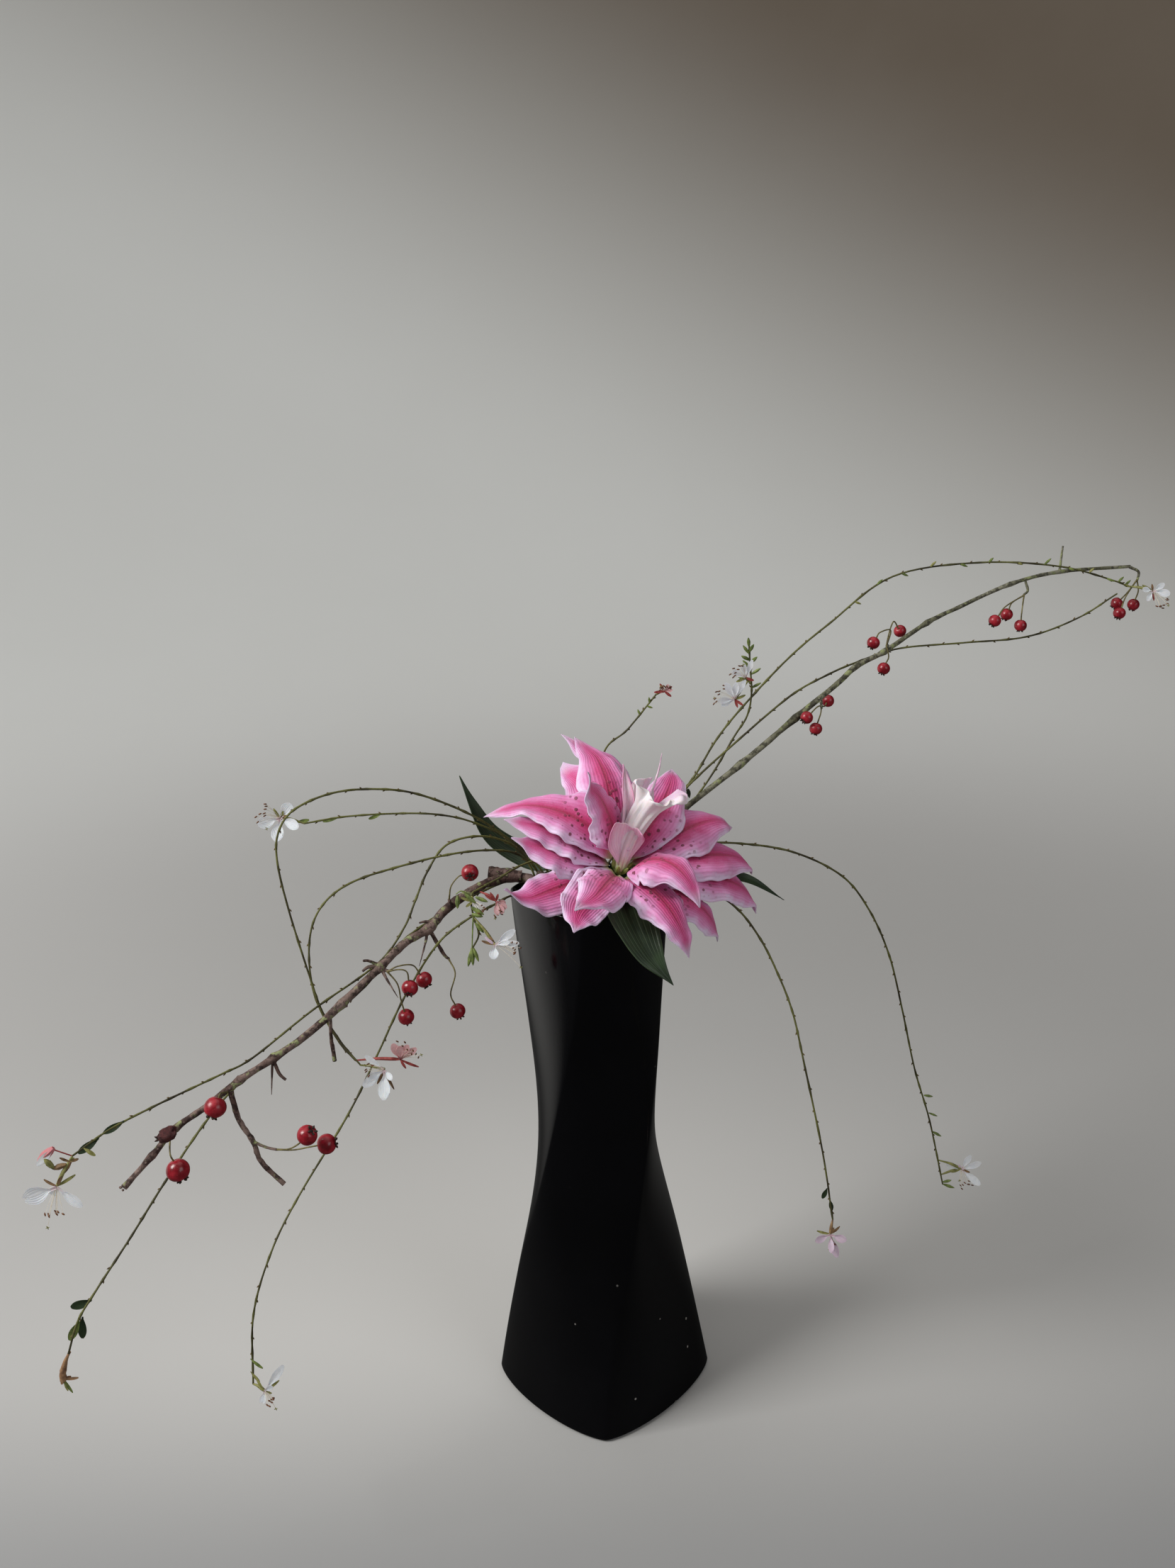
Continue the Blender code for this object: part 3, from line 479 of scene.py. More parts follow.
# each stem: its angle on the rim, how far out it passes the mouth, and its route outside
stemRoutes = {
    "gaura_stem_1": (133, 1, [
        (-54, 30, 426), (-81, 20, 450), (-114, 4, 471), (-140, -10, 480),
        (-166, -25, 483), (-188, -40, 478), (-198, -50, 467), (-200, -56, 449),
        (-195, -60, 416), (-184, -66, 369), (-178, -66, 344), (-167, -70, 324),
        (-154, -78, 311)]),
    "gaura_stem_2": (139, 1, [
        (-57, 36, 425), (-81, 30, 441), (-104, 22, 450), (-130, 12, 455),
        (-164, 0, 458), (-190, -12, 458)]),
    "gaura_stem_3": (151, 1, [
        (-47, 22, 417), (-65, 14, 425), (-93, 4, 427), (-128, -12, 425),
        (-160, -28, 420), (-179, -38, 407), (-187, -46, 385), (-185, -55, 352),
        (-172, -58, 320), (-160, -64, 307)]),
    "gaura_stem_4": (145, 1, [
        (-50, 26, 421), (-65, 20, 432), (-83, 12, 436), (-99.5, 7, 431),
        (-111.5, -2, 415.5), (-119, -12, 400), (-127, -24, 384), (-144, -40, 366),
        (-183, -74, 350), (-217, -104, 333), (-233, -120, 331), (-262, -146, 328),
        (-287, -168, 324), (-303, -190, 320)]),
    "gaura_stem_5": (157, 1, [
        (-42, 19, 403), (-62, 14, 400), (-98, -6, 390), (-130, -32, 376),
        (-151, -53, 356), (-180, -77, 340), (-220, -113, 324), (-240, -136, 309),
        (-263, -160, 281), (-280, -180, 258), (-295, -206, 240), (-304, -216, 227),
        (-309, -224, 211)]),
    "gaura_stem_6": (200, 1, [
        (-41, -15, 403), (-53, -20, 404), (-63, -26, 401), (-81, -30, 393),
        (-103, -35, 377), (-127, -42, 342), (-145, -56, 309), (-165, -78, 275),
        (-197, -104, 231), (-213, -126, 205), (-225, -142, 169), (-229, -148, 120)]),
    "gaura_stem_7": (205, 0.35, [
        (-14, 2, 412), (-24, 3, 418), (-34, -3, 423), (-48, -10, 421),
        (-60, -16, 416), (-73, -24, 412), (-79, -30, 409), (-78, -33, 395),
        (-75, -35, 383), (-80, -37, 373)]),
    "gaura_stem_8": (14, 1, [
        (60, 17, 414), (76, 22, 421), (105, 26, 420), (147, 34, 409),
        (184, 40, 387), (206, 45, 357), (223, 49, 318), (235, 52, 272),
        (247, 54, 220), (261, 55, 173), (274, 55, 115)]),
    "gaura_stem_9": (350, 1, [
        (60, -12, 411), (76, -16, 406), (99, -26, 393), (115, -36, 373),
        (127, -46, 348), (135, -54, 325), (141, -62, 295), (153, -74, 232),
        (160, -80, 182)]),
    "gaura_stem_10": (38, 1, [
        (62.5, 48, 426.5), (89, 60, 456.5), (108.5, 66, 487), (118, 67, 502),
        (121, 66, 519), (120, 66, 538), (119, 66, 555)]),
    "gaura_stem_11": (72, 1, [
        (46, 47, 432), (74, 46, 459), (94, 56, 487), (114, 67, 508),
        (150, 86, 539), (182, 100, 561), (230, 112, 592), (297, 126, 598),
        (360, 133, 592), (406, 144, 578), (417, 148, 573)]),
    "gaura_stem_12": (65, 1, [
        (48, 41, 430), (73, 38, 460), (107, 49, 487), (149, 69, 515),
        (177, 80, 527), (202, 94, 533), (235, 104, 540), (285, 112, 541),
        (335, 122, 542), (376, 132, 553), (407, 140, 569)]),
    "gaura_stem_13": (90, 1, [(4, 47, 440), (14, 44, 485), (31, 44, 501), (52, 48, 525)]),
}


def insideVase(rimAngle, radius, footReach, mouthReach=1):
    # a stem's points inside the vase: a straight line, kept off the turning wall
    angle = math.radians(rimAngle)
    out = Vector((math.cos(angle), math.sin(angle), 0))
    shape = stemShape
    footHeight = vaseShape["floor"] + shape["clearance"] + radius * shape["footLift"]
    keepOff = vaseShape["wall"] + radius * shape["wallSlant"] + shape["wallGap"]
    rimReach = vaseRadius(angle, vaseShape["height"]) - keepOff
    points = []
    for share in shape["shares"]:
        height = footHeight + (vaseShape["height"] - footHeight) * share
        straight = rimReach * (footReach + (mouthReach - footReach) * share)
        points.append(out * min(straight, vaseRadius(angle, height) - keepOff) + Vector((0, 0, height)))
    return points


def makeStemSkin():
    material, tree, shader = newMaterial("gauraStemSkin", Specular_IOR_Level=0.35)
    patches = patchesOf(tree, 45, 4, 0.16)
    streaks = objectNoise(tree, 900, 2)
    tone = mix(tree, patches, colour("37321e"), colour("6a6b38"))
    tone = mix(tree, fade(tree, streaks, 0.5, 0.75, 0.0, 0.7), tone, colour("2a2117"))
    feed(tree, shader.inputs["Base Color"], tone)
    feed(tree, shader.inputs["Roughness"], fade(tree, streaks, 0.3, 0.7, 0.45, 0.7))
    addBump(tree, shader, streaks, 0.3, 0.0002)
    return material


stemSkin = makeStemSkin()
budGreen = mottledMaterial("budGreen", "4c5a26", "86964c", 260)
budBrown = mottledMaterial("budScale", "4a3a22", "7a6538", 300)


def addBud(bm, base, direction, length, width, slot):
    # a slim pointed bud or scale
    direction = Vector(direction).normalized()
    base = Vector(base)
    path = [base + direction * length * share for share in (0, 0.25, 0.55, 0.85, 1)]
    radii = [width * share for share in (0.22, 0.42, 0.5, 0.28, 0.05)]
    growTube(bm, ringsAlong(path, radii, 6), slot)


def makeStem(name, rimAngle, mouthReach, outside, draw):
    shape = stemShape
    inside = insideVase(rimAngle, shape["radius"], shape["footReach"], mouthReach)
    steps = 9
    path = smoothRoute(inside + metres(outside), steps)
    walked = [0]
    for start, end in zip(path, path[1:]):
        walked.append(walked[-1] + (end - start).length)
    nodes = []
    place = walked[(len(inside) - 1) * steps]
    while place < walked[-1] - 0.004:
        nodes.append(place)
        place += shape["nodeSpacing"] * draw.uniform(0.75, 1.25)
    radii = []
    for i, base in enumerate(blend(shape["radius"], shape["tipRadius"], len(path))):
        swell = max([math.exp(-((walked[i] - node) / shape["nodeLength"]) ** 2) for node in nodes],
                    default=0)
        radii.append(base * (1 + shape["nodeSwell"] * swell))
    bm = newMesh()
    growTube(bm, ringsAlong(path, radii, shape["sides"], 0.10, 700, len(name)))
    for n, node in enumerate(nodes):
        i = min(np.searchsorted(walked, node), len(path) - 2)
        along = (path[i + 1] - path[i]).normalized()
        side = along.cross(Vector((0, 1, 0))).normalized() * (1 if n % 2 else -1)
        length = draw.uniform(0.0014, 0.0026)
        addBud(bm, path[i] + side * radii[i] * 0.6, along + side * 0.55, length, 0.0010, 1)
    finishPiece("gauraStem" + name.split("_")[-1], bm, [stemSkin, budBrown], [name])
    return path


stemPaths = {}
for number, (name, (rimAngle, mouthReach, outside)) in enumerate(stemRoutes.items()):
    stemPaths[name] = makeStem(name, rimAngle, mouthReach, outside, random.Random(40 + number))
print("gaura stems made")


# Hawthorn branches with knobs, thorns and short spurs

branchShape = {
    "sides": 14,
    "steps": 6,
    "wobble": 0.22,
    "grain": 210,
    "knobSwell": 0.38,
    "knobLength": 0.0035,
    "leftRimAngle": 166,
    "leftFootReach": 0.4,
    "leftRadii": (0.0040, 0.0016),
    "leftSeatRise": 0.0048,
    "leftBend": 0.020,
    "rightRimAngle": 53,
    "rightRadii": (0.0032, 0.0012),
}
leftBranch = [
    (-69, 1, 406), (-86, -10, 401), (-99, -18, 394), (-109, -30, 386),
    (-124, -40, 381), (-139, -58, 372), (-162, -80, 357), (-181, -98, 346),
    (-200, -116, 339), (-219, -130, 332), (-237, -145, 323), (-253, -157, 316),
    (-264, -172, 307), (-276, -190, 298)]
# each twig: route, radius at its start, radius at its end
leftTwigs = [
    ([(-47, 12, 405.5), (-58, 12.5, 407.5), (-70, 13, 409)], 4, 4.4),
    ([(-224, -135, 327), (-220, -139, 310), (-212, -142, 296), (-208, -143, 282),
      (-195, -145, 267)], 1.8, 1.5),
    ([(-211.5, -142, 295.5), (-203, -146, 294), (-196, -149, 294)], 1, 0.8),
    ([(-109, -28, 388), (-111, -36, 379), (-115, -46, 366)], 1.4, 0.2),
    ([(-139, -58, 372), (-134, -64, 365), (-127, -70, 355)], 1.4, 0.2),
    ([(-110, -28, 387), (-100, -33, 369), (-96, -34, 365)], 1.5, 0.9),
    ([(-93, -14, 396), (-94, -22, 401), (-95, -22, 404)], 1.5, 0.9),
    ([(-140, -58, 371), (-134, -59.5, 369.5)], 1.5, 1),
    ([(-169, -86, 353), (-170, -85, 335), (-169, -86, 319)], 1.1, 1.4)]
rightBranch = [
    (46, 36, 422), (68, 43, 439.5), (112, 56, 469), (153, 68, 499),
    (185, 79, 521), (199, 84, 532), (221, 92, 540.5), (255, 106, 558),
    (280, 115, 567), (322, 128, 581), (362, 140, 587), (421, 155, 587)]
rightTwigs = [
    ([(362, 140, 586), (363, 141, 598), (364, 142, 606)], 1, 0.7),
    ([(420, 155, 587), (427, 153, 583), (426, 151, 577)], 1.2, 0.9),
    ([(334, 131, 582), (334, 125, 576), (330, 121, 574)], 1, 0.8)]

# knobs on the bark, and small spurs that are grown after the twigs
leftKnobs = [
    (-109, -30, 386), (-139, -58, 372), (-200, -116, 339), (-219, -130, 332), (-162, -80, 357),
    (-253, -157, 316), (-264, -172, 307), (-276, -190, 298)]
leftSpurs = [
    ([(-139, -58, 373), (-146, -62, 374), (-150, -64, 372)], 1.6, 0.8),
    ([(-141, -58, 374), (-146, -61, 378), (-149, -63, 379)], 1.3, 0.7),
    ([(-105, -26, 389), (-111, -29, 391), (-115, -31, 391)], 1.3, 0.6),
    ([(-200, -118, 338), (-197, -120, 330), (-193, -121, 326)], 1.2, 1),
    ([(-201, -118, 337), (-202, -120, 326), (-203, -121, 316)], 0.9, 0.2)]
rightKnobs = [
    (112, 56, 469), (153, 68, 499), (199, 84, 532), (221, 92, 540.5), (255, 106, 558), (322, 128, 581),
    (362, 140, 587), (68, 43, 439.5)]
rightSpurs = [
    ([(172, 74, 512), (172, 70, 507), (172, 69, 505)], 1.3, 0.8),
    ([(222, 92, 541), (223, 89, 546)], 1.3, 0.8)]


def makeBarkGroup():
    # bark relief: fine cracks along the branch over broad unevenness, with pale pores
    group, start, end = newGroup("bark", {"Scale": 1}, ["Height", "Cracks", "Pores"])
    broad = objectNoise(group, times(group, start.outputs["Scale"], 220), 5, 0.65)
    fine = objectNoise(group, times(group, start.outputs["Scale"], 900), 3, 0.6)
    cracks = fade(group, broad, 0.42, 0.56, 1.0, 0.0)
    pores = useGroup(group, speckGroup, Scale=330, Size=0.30, Share=0.35)["Specks"]
    height = maths(group, "ADD", broad, times(group, fine, 0.35))
    group.links.new(maths(group, "ADD", height, times(group, pores, 0.3)), end.inputs["Height"])
    group.links.new(cracks, end.inputs["Cracks"])
    group.links.new(pores, end.inputs["Pores"])
    return group


barkGroup = makeBarkGroup()


def makeBark(name, dark, main, pale, lichen=0.0):
    material, tree, shader = newMaterial(name, Specular_IOR_Level=0.25)
    bark = useGroup(tree, barkGroup, Scale=1)
    patches = patchesOf(tree, 40, 4, 0.12)
    tone = mix(tree, patches, colour(main), colour(pale))
    tone = mix(tree, times(tree, bark["Cracks"], 0.8), tone, colour(dark))
    tone = mix(tree, times(tree, bark["Pores"], 0.6), tone, colour(pale))
    if lichen:
        growth = fade(tree, objectNoise(tree, 170, 4, 0.6), 0.62 - lichen, 0.72 - lichen)
        tone = mix(tree, growth, tone, colour("8b9166"))
    feed(tree, shader.inputs["Base Color"], tone)
    feed(tree, shader.inputs["Roughness"], fade(tree, bark["Height"], 0.2, 1.0, 0.9, 0.62))
    addBump(tree, shader, bark["Height"], 0.8, 0.0012)
    return material


def swellAt(point, knobs):
    length = branchShape["knobLength"]
    return max(math.exp(-((point - knob).length / length) ** 2) for knob in knobs)


def makeBranch(name, node, path, radii, twigs, knobs, bark, spurs, seed):
    shape = branchShape
    fine = smoothRoute(path, shape["steps"])
    radii = blend(*radii, len(fine))
    knobs = metres(knobs)
    swells = [1 + shape["knobSwell"] * swellAt(point, knobs) for point in fine]
    swollen = [radius * swell for radius, swell in zip(radii, swells)]
    bm = newMesh()
    growTube(bm, ringsAlong(fine, swollen, shape["sides"], shape["wobble"], shape["grain"], seed))
    for i, (route, first, last) in enumerate(twigs):
        points = smoothRoute(metres(route), shape["steps"])
        sizes = blend(first / 1000, last / 1000, len(points))
        growTube(bm, ringsAlong(points, sizes, 9, 0.28, 420, seed + i))
    draw = random.Random(seed)
    for knob in knobs:
        # short stubs and bud scales round each knob
        near = min(fine, key=lambda point: (point - knob).length)
        size = radii[fine.index(near)]
        for _ in range(3):
            out = Vector((draw.uniform(-1, 1), draw.uniform(-1, 1), draw.uniform(-1, 1))).normalized()
            addBud(bm, near + out * size * 0.6, out, size * draw.uniform(0.8, 1.3), size * 1.1, 0)
    for route, first, last in spurs:
        points = smoothRoute(metres(route), 4)
        sizes = blend(first / 1000, last / 1000, len(points))
        growTube(bm, ringsAlong(points, sizes, 8, 0.3, 420, seed + 31))
    finishPiece(name, bm, [bark], [node], sharp=60)


def makeBranches():
    shape = branchShape
    first = shape["leftRadii"][0]
    inside = insideVase(shape["leftRimAngle"], first, shape["leftFootReach"])[:2]
    angle = math.radians(shape["leftRimAngle"])
    rim = Vector((math.cos(angle), math.sin(angle), 0)) * vaseRadius(angle, vaseShape["height"])
    top = Vector((0, 0, vaseShape["height"]))
    # under the mouth, in the mouth, and on the rim
    bend = [rim * 0.55 + top - Vector((0, 0, shape["leftBend"])), rim * 0.72 + top,
            rim * 0.92 + top + Vector((0, 0, shape["leftSeatRise"]))]
    purple = makeBark("purpleBark", "2c1f1d", "57423c", "86726a", 0.06)
    grey = makeBark("greyBark", "35332a", "64634f", "8d8b78", 0.08)
    makeBranch("leftBranch", "left_hawthorn_branch", inside + bend + metres(leftBranch),
               shape["leftRadii"], leftTwigs, leftKnobs, purple, leftSpurs, 5)
    inside = insideVase(shape["rightRimAngle"], shape["rightRadii"][0], stemShape["footReach"])
    makeBranch("rightBranch", "right_hawthorn_branch", inside + metres(rightBranch),
               shape["rightRadii"], rightTwigs, rightKnobs, grey, rightSpurs, 11)


makeBranches()
print("branches made")


# Hawthorn berries, each on its pedicel, with a dried calyx at the far end

berryShape = {"pedicel": 0.0005, "crownSepals": 5, "segments": 28}
# each cluster: radius of a berry, and a route from the spur to each berry's middle
berries = {
    "left_berry_1": (0.0059, [[(-95, -22, 405), (-93, -22, 413), (-88, -20, 419), (-80, -18, 421)]]),
    "left_berries_2": (0.0055, [
        [(-132, -61, 369), (-127, -60, 373), (-118, -55, 371), (-112, -50, 358)],
        [(-132, -61, 369), (-126, -63, 372), (-121, -63, 370), (-120, -62, 358)],
        [(-132, -61, 369), (-128, -62, 361), (-127, -59, 348), (-125, -56, 334)]]),
    "left_berry_3": (0.0054, [[(-95, -38, 363), (-92, -40, 357), (-96, -40, 342), (-92, -40, 329)]]),
    "left_berry_4": (0.0067, [[(-224, -139, 328), (-226, -149, 334), (-229, -153, 327)]]),
    "left_berry_5": (0.0070, [[(-254, -164, 315), (-252, -175, 310), (-248, -177, 300)]]),
    "left_berries_6": (0.0062, [
        [(-193, -150, 294), (-185, -153, 296), (-174, -155, 299), (-164, -154, 300)],
        [(-193, -150, 294), (-187, -155, 298), (-180, -160, 304), (-173, -163, 312)]]),
    "right_berries_1": (0.0046, [
        [(222, 90, 545), (224, 87, 557), (215, 81, 557), (210, 79, 550)],
        [(222, 90, 545), (224, 92, 554), (229, 100, 561), (236, 109, 552)],
        [(222, 90, 545), (223, 86, 538), (219, 83, 530)]]),
    "right_berries_2": (0.0046, [
        [(172, 72, 506), (168, 66, 507), (160, 61, 501)],
        [(172, 72, 506), (171, 66, 503), (167, 63, 492)],
        [(172, 72, 506), (176, 80, 504), (180, 88, 506)]]),
    "right_berries_3": (0.0046, [
        [(329, 120, 573), (322, 122, 568), (319, 124, 559)],
        [(329, 120, 573), (316, 118, 566), (308, 116, 556)],
        [(329, 120, 573), (328, 117, 563), (327, 115, 552)]]),
    "right_berries_4": (0.0046, [
        [(425, 150, 575), (420, 152, 568), (413, 154, 559)],
        [(425, 150, 575), (416, 145, 566), (410, 140, 554)],
        [(425, 150, 575), (427, 150, 569), (425, 152, 558)]]),
}
# the way each berry's calyx looks, where it isn't straight on from its pedicel
calyxAims = {"left_berry_1_0": (0.1, -1, -0.15), "left_berries_2_1": (-0.1, -0.8, -0.5),
             "left_berries_2_0": (0.5, -0.3, -0.8)}


def makeBerrySkin():
    material, tree, shader = newMaterial("berrySkin", Coat_Weight=0.25, Coat_Roughness=0.18,
                                         Subsurface_Weight=0.08, Subsurface_Scale=0.002)
    patches = patchesOf(tree, 190, 4, 0.2)
    dots = useGroup(tree, speckGroup, Scale=900, Size=0.22, Share=0.5)["Specks"]
    tone = mix(tree, patches, colour("6f0a16"), colour("a5182a"))
    feed(tree, shader.inputs["Base Color"], tint(tree, dots, 0.35, tone, "c06a60"))
    feed(tree, shader.inputs["Roughness"], fade(tree, patches, 0.0, 1.0, 0.28, 0.42))
    relief = maths(tree, "ADD", objectNoise(tree, 420, 3), times(tree, dots, 0.4))
    addBump(tree, shader, relief, 0.25, 0.0004)
    return material


berrySkin = makeBerrySkin()
calyxBrown = mottledMaterial("calyx", "1f1412", "4b3228", 500, (0.7, 0.9), 0.6)
pedicelGreen = mottledMaterial("pedicel", "4d4426", "837a4a", 300)


def addBerry(bm, centre, radius, aim):
    # a slightly flattened ball with a sunken eye and a ring of small dried sepals
    count = len(bm.faces)
    aim = Vector(aim).normalized()
    turn = aim.to_track_quat("Z", "Y").to_matrix()
    matrix = Matrix.Translation(centre) @ turn.to_4x4()
    segments = berryShape["segments"]
    made = bmesh.ops.create_uvsphere(bm, u_segments=segments, v_segments=segments // 2, radius=radius,
                                     matrix=matrix)["verts"]
    for vert in made:
        out = (vert.co - centre) / radius
        height = out.dot(aim)
        away = math.sqrt(max(1 - height * height, 0))
        around = math.atan2(out.dot(turn.col[1]), out.dot(turn.col[0]))
        sink = 0.30 * math.exp(-(away / 0.24) ** 2) if height > 0 else 0.16 * math.exp(-(away / 0.22) ** 2)
        lobes = 0.025 * math.cos(5 * around) * away * max(height, 0)
        unevenness = 0.03 * noise.noise(vert.co * 170)
        vert.co = centre + (out * (1 + lobes + unevenness) - aim * height * (0.04 + sink)) * radius
    paintFrom(bm, count, 0)
    eye = centre + aim * radius * 0.74
    addBall(bm, eye, (radius * 0.24, radius * 0.10), aim, 1, 10)
    for k in range(berryShape["crownSepals"]):
        around = math.tau * (k + 0.3) / berryShape["crownSepals"]
        out = turn.col[0] * math.cos(around) + turn.col[1] * math.sin(around)
        foot = centre + aim * radius * 0.84 + out * radius * 0.24
        addBud(bm, foot, out * 0.9 + aim * 0.55, radius * 0.38, radius * 0.26, 1)


def makeBerries():
    for name, (radius, routes) in berries.items():
        branch = bpy.data.objects["leftBranch" if name.startswith("left") else "rightBranch"]
        seat = branch.closest_point_on_mesh(Vector(routes[0][0]) / 1000)[1]
        bm = newMesh()
        for i, route in enumerate(routes):
            # the pedicel starts on the bark
            route = metres(route)
            route[0] = seat + (seat - route[1]).normalized() * 0.0003
            centre = route[-1]
            along = (centre - route[-2]).normalized()
            path = smoothRoute(route[:-1] + [centre - along * radius * 0.8], 7)
            count = len(path)
            swells = [1 + 0.5 * math.exp(-k / 2) + 0.35 * math.exp((k - count) / 2) for k in range(count)]
            sizes = [berryShape["pedicel"] * swell for swell in swells]
            growTube(bm, ringsAlong(path, sizes, 7, 0.12, 500, i), 2)
            addBerry(bm, centre, radius, calyxAims.get(f"{name}_{i}", along))
        parts = name.split("_")
        label = parts[0] + "Berries" + parts[2]
        finishPiece(label, bm, [berrySkin, calyxBrown, pedicelGreen], [name])


makeBerries()
print("berries made")


# The lily: tepals laid over each other from the outside in

lilyShape = {
    "centre": Vector((0.021, -0.020, 0.420)),
    "axis": Vector((0.30, -0.42, 0.86)).normalized(),
    "start": 0.0075,
    "thickness": 0.0008,
    "bendPower": 1.25,
    "clearance": 0.0013,
    "stepsAlong": 36,
    "stepsAcross": 20,
    "wave": 0.0023,
    "groove": 0.0013,
    "grooveWidth": 0.0016,
    "droop": 0.18,
    "rollDepth": 0.30,
    "rollIn": 0.12,
    "rib": 0.00035,
    "tipCurl": 0.010,
    "coarseSteps": 8,
    "spreadRounds": 60,
    "raise": 0.0004,
}
lilyRight = (Vector((1, 0, 0)) - lilyShape["axis"] * lilyShape["axis"].x).normalized()
lilyBack = lilyShape["axis"].cross(lilyRight)
# name: azimuth, drift, rise at the base, rise at the tip, length, width, edge roll, tip curl, tip hook
tepals = {
    "tepal_front_left": (200, 24, -16, 7, 80, 36, 0.2, 1.0, -0.008),
    "tepal_right_front_outer": (329, 37, 25, -95, 94, 36, 0.4, 0.3, 0.002),
    "tepal_right_lower": (354, 30, 24, -69, 116, 40, 0.5, -0.3, -0.006),
    "tepal_left_lower": (187, -8, 21, -3, 74, 36, 0.3, 0.2, 0.0),
    "tepal_back_outer": (103, 9, 55, -52, 108, 40, 0.3, 0.9, 0.018),
    "tepal_front_outer": (234, 18, 12, -2, 74, 36, -0.4, 0.2, 0.003),
    "tepal_right_front_mid": (300, 11, 40, -68, 84, 36, 0.8, 0.0, 0.0),
    "tepal_right_mid": (6, 24, 32, -53, 108, 42, 0.9, -0.5, -0.004),
    "tepal_left_mid": (170, 10, 32, -20, 82, 36, 0.5, 0.2, 0.0),
    "tepal_left_back": (131, -23, 41, -32, 80, 34, 0.4, 0.3, 0.004),
    "tepal_back_left": (118, -21, 51, -58, 100, 38, 0.5, 0.5, 0.008),
    "tepal_left_upper": (158, 5, 38, -74, 104, 42, 0.8, 0.3, 0.004),
    "tepal_right_upper": (30, 4, 45, -43, 98, 44, 0.5, -0.3, -0.003),
    "tepal_front_inner": (246, -8, 42, -20, 78, 37, 0.4, 0.4, -0.004),
    "tepal_right_front_inner": (322, -22, 80, -62, 82, 40, 1.3, 0.2, 0.0),
    "tepal_back_right": (52, 34, 54, -18, 88, 40, 0.5, -0.3, 0.0),
    "tepal_centre_left": (146, 24, 76, 20, 76, 38, 0.6, 1.2, 0.009),
}


def radial(azimuth):
    return lilyRight * math.cos(azimuth) + lilyBack * math.sin(azimuth)


def bladeWidth(s):
    pointed = 1 - 0.30 * smoothStep(0.80, 1.0, s)
    return max((0.12 * (1 - s) + 0.95 * math.sin(math.pi * s**0.85) ** 0.9) * pointed, 0.012)


def tepalSpine(azimuth, drift, rise, tipRise, length, width):
    # the middle line, smooth through a few steps, with the way each place faces
    axis, coarse = lilyShape["axis"], lilyShape["coarseSteps"]

    def heading(s):
        slope = math.radians(rise + (tipRise - rise) * s ** lilyShape["bendPower"])
        out = radial(math.radians(azimuth + drift * s))
        return out * math.cos(slope) + axis * math.sin(slope), axis.cross(out)

    point = lilyShape["centre"] + radial(math.radians(azimuth)) * lilyShape["start"]
    points = []
    for i in range(coarse + 1):
        points.append(point)
        point = point + heading(i / coarse)[0] * length / 1000 / coarse
    steps = lilyShape["stepsAlong"]
    line = smoothRoute(points, steps // coarse + 1)
    spine = []
    for i in range(steps + 1):
        s = i / steps
        place = s * (len(line) - 1)
        low = min(int(place), len(line) - 2)
        along, across = heading(s)
        middle = line[low].lerp(line[low + 1], place - low)
        spine.append((middle, across, along.cross(across), width / 2000 * bladeWidth(s)))
    return spine


def tepalPoint(spine, side, s, roll, curl, hook, wave, phase):
    # one place on a tepal: drooping halves, a groove along the middle, wavy edges
    shape = lilyShape
    point, across, facing, half = spine[min(round(s * (len(spine) - 1)), len(spine) - 1)]
    edge = abs(side)
    sign = 1 if side > 0 else -1
    envelope = math.sin(math.pi * min(s * 1.02, 1)) ** 0.6 if s < 0.98 else 0.1
    ripple = math.sin(math.tau * (3.1 * s + phase + 0.23 * sign))
    ripple += 0.55 * math.sin(math.tau * (6.7 * s + phase * 2.3 * sign))
    ripple += 0.5 * noise.noise(Vector((s * 9, side * 2 + phase * 5, phase * 10)))
    lobes = math.sin(math.tau * (2.3 * s + phase * 3 + 0.4 * sign))
    outline = 1 + 0.07 * lobes * edge * smoothStep(0.1, 0.4, s)
    groove = math.exp(-((side * half / shape["grooveWidth"]) ** 2))
    lift = -edge**2 * half * shape["droop"]
    lift += wave * ripple * edge**2.4 * envelope
    lift -= roll * half * shape["rollDepth"] * smoothStep(0.62, 1.0, edge) * envelope
    lift -= shape["groove"] * groove * smoothStep(0.0, 0.1, s) * (1 - s) ** 0.5
    lift += shape["rib"] * math.cos(edge * math.tau * 1.5) * envelope
    bend = curl * shape["tipCurl"] * smoothStep(0.78, 1.0, s) ** 1.5
    reach = side * half * outline * (1 - shape["rollIn"] * max(roll, 0) * smoothStep(0.7, 1.0, edge))
    return point + across * (reach + hook * smoothStep(0.70, 1.0, s)) + facing * (lift + bend)


def highestBelow(trees, point):
    axis = lilyShape["axis"]
    best = None
    for tree in trees:
        hit = tree.ray_cast(point + axis * 0.3, -axis, 0.6)[0]
        if hit is not None and (best is None or (hit - best).dot(axis) > 0):
            best = hit
    return best


def aroundMean(values):
    padded = np.pad(values, 1, mode="edge")
    return (padded[:-2, 1:-1] + padded[2:, 1:-1] + padded[1:-1, :-2] + padded[1:-1, 2:]) / 4


def layOver(trees, grid):
    # lifts the grid of points smoothly over the tepals already there
    axis = lilyShape["axis"]
    gap = lilyShape["thickness"] + lilyShape["clearance"]
    rows, columns = len(grid), len(grid[0])
    lifts = np.zeros((rows, columns))
    for i in range(rows):
        for j in range(columns):
            below = highestBelow(trees, grid[i][j])
            if below is not None:
                lifts[i, j] = max((below - grid[i][j]).dot(axis) + gap, 0)
    spread = lifts.copy()
    for _ in range(lilyShape["spreadRounds"]):
        spread = np.maximum(lifts, aroundMean(spread))
    for _ in range(3):
        spread = aroundMean(spread)
    for i in range(rows):
        for j in range(columns):
            grid[i][j] = grid[i][j] + axis * spread[i, j]


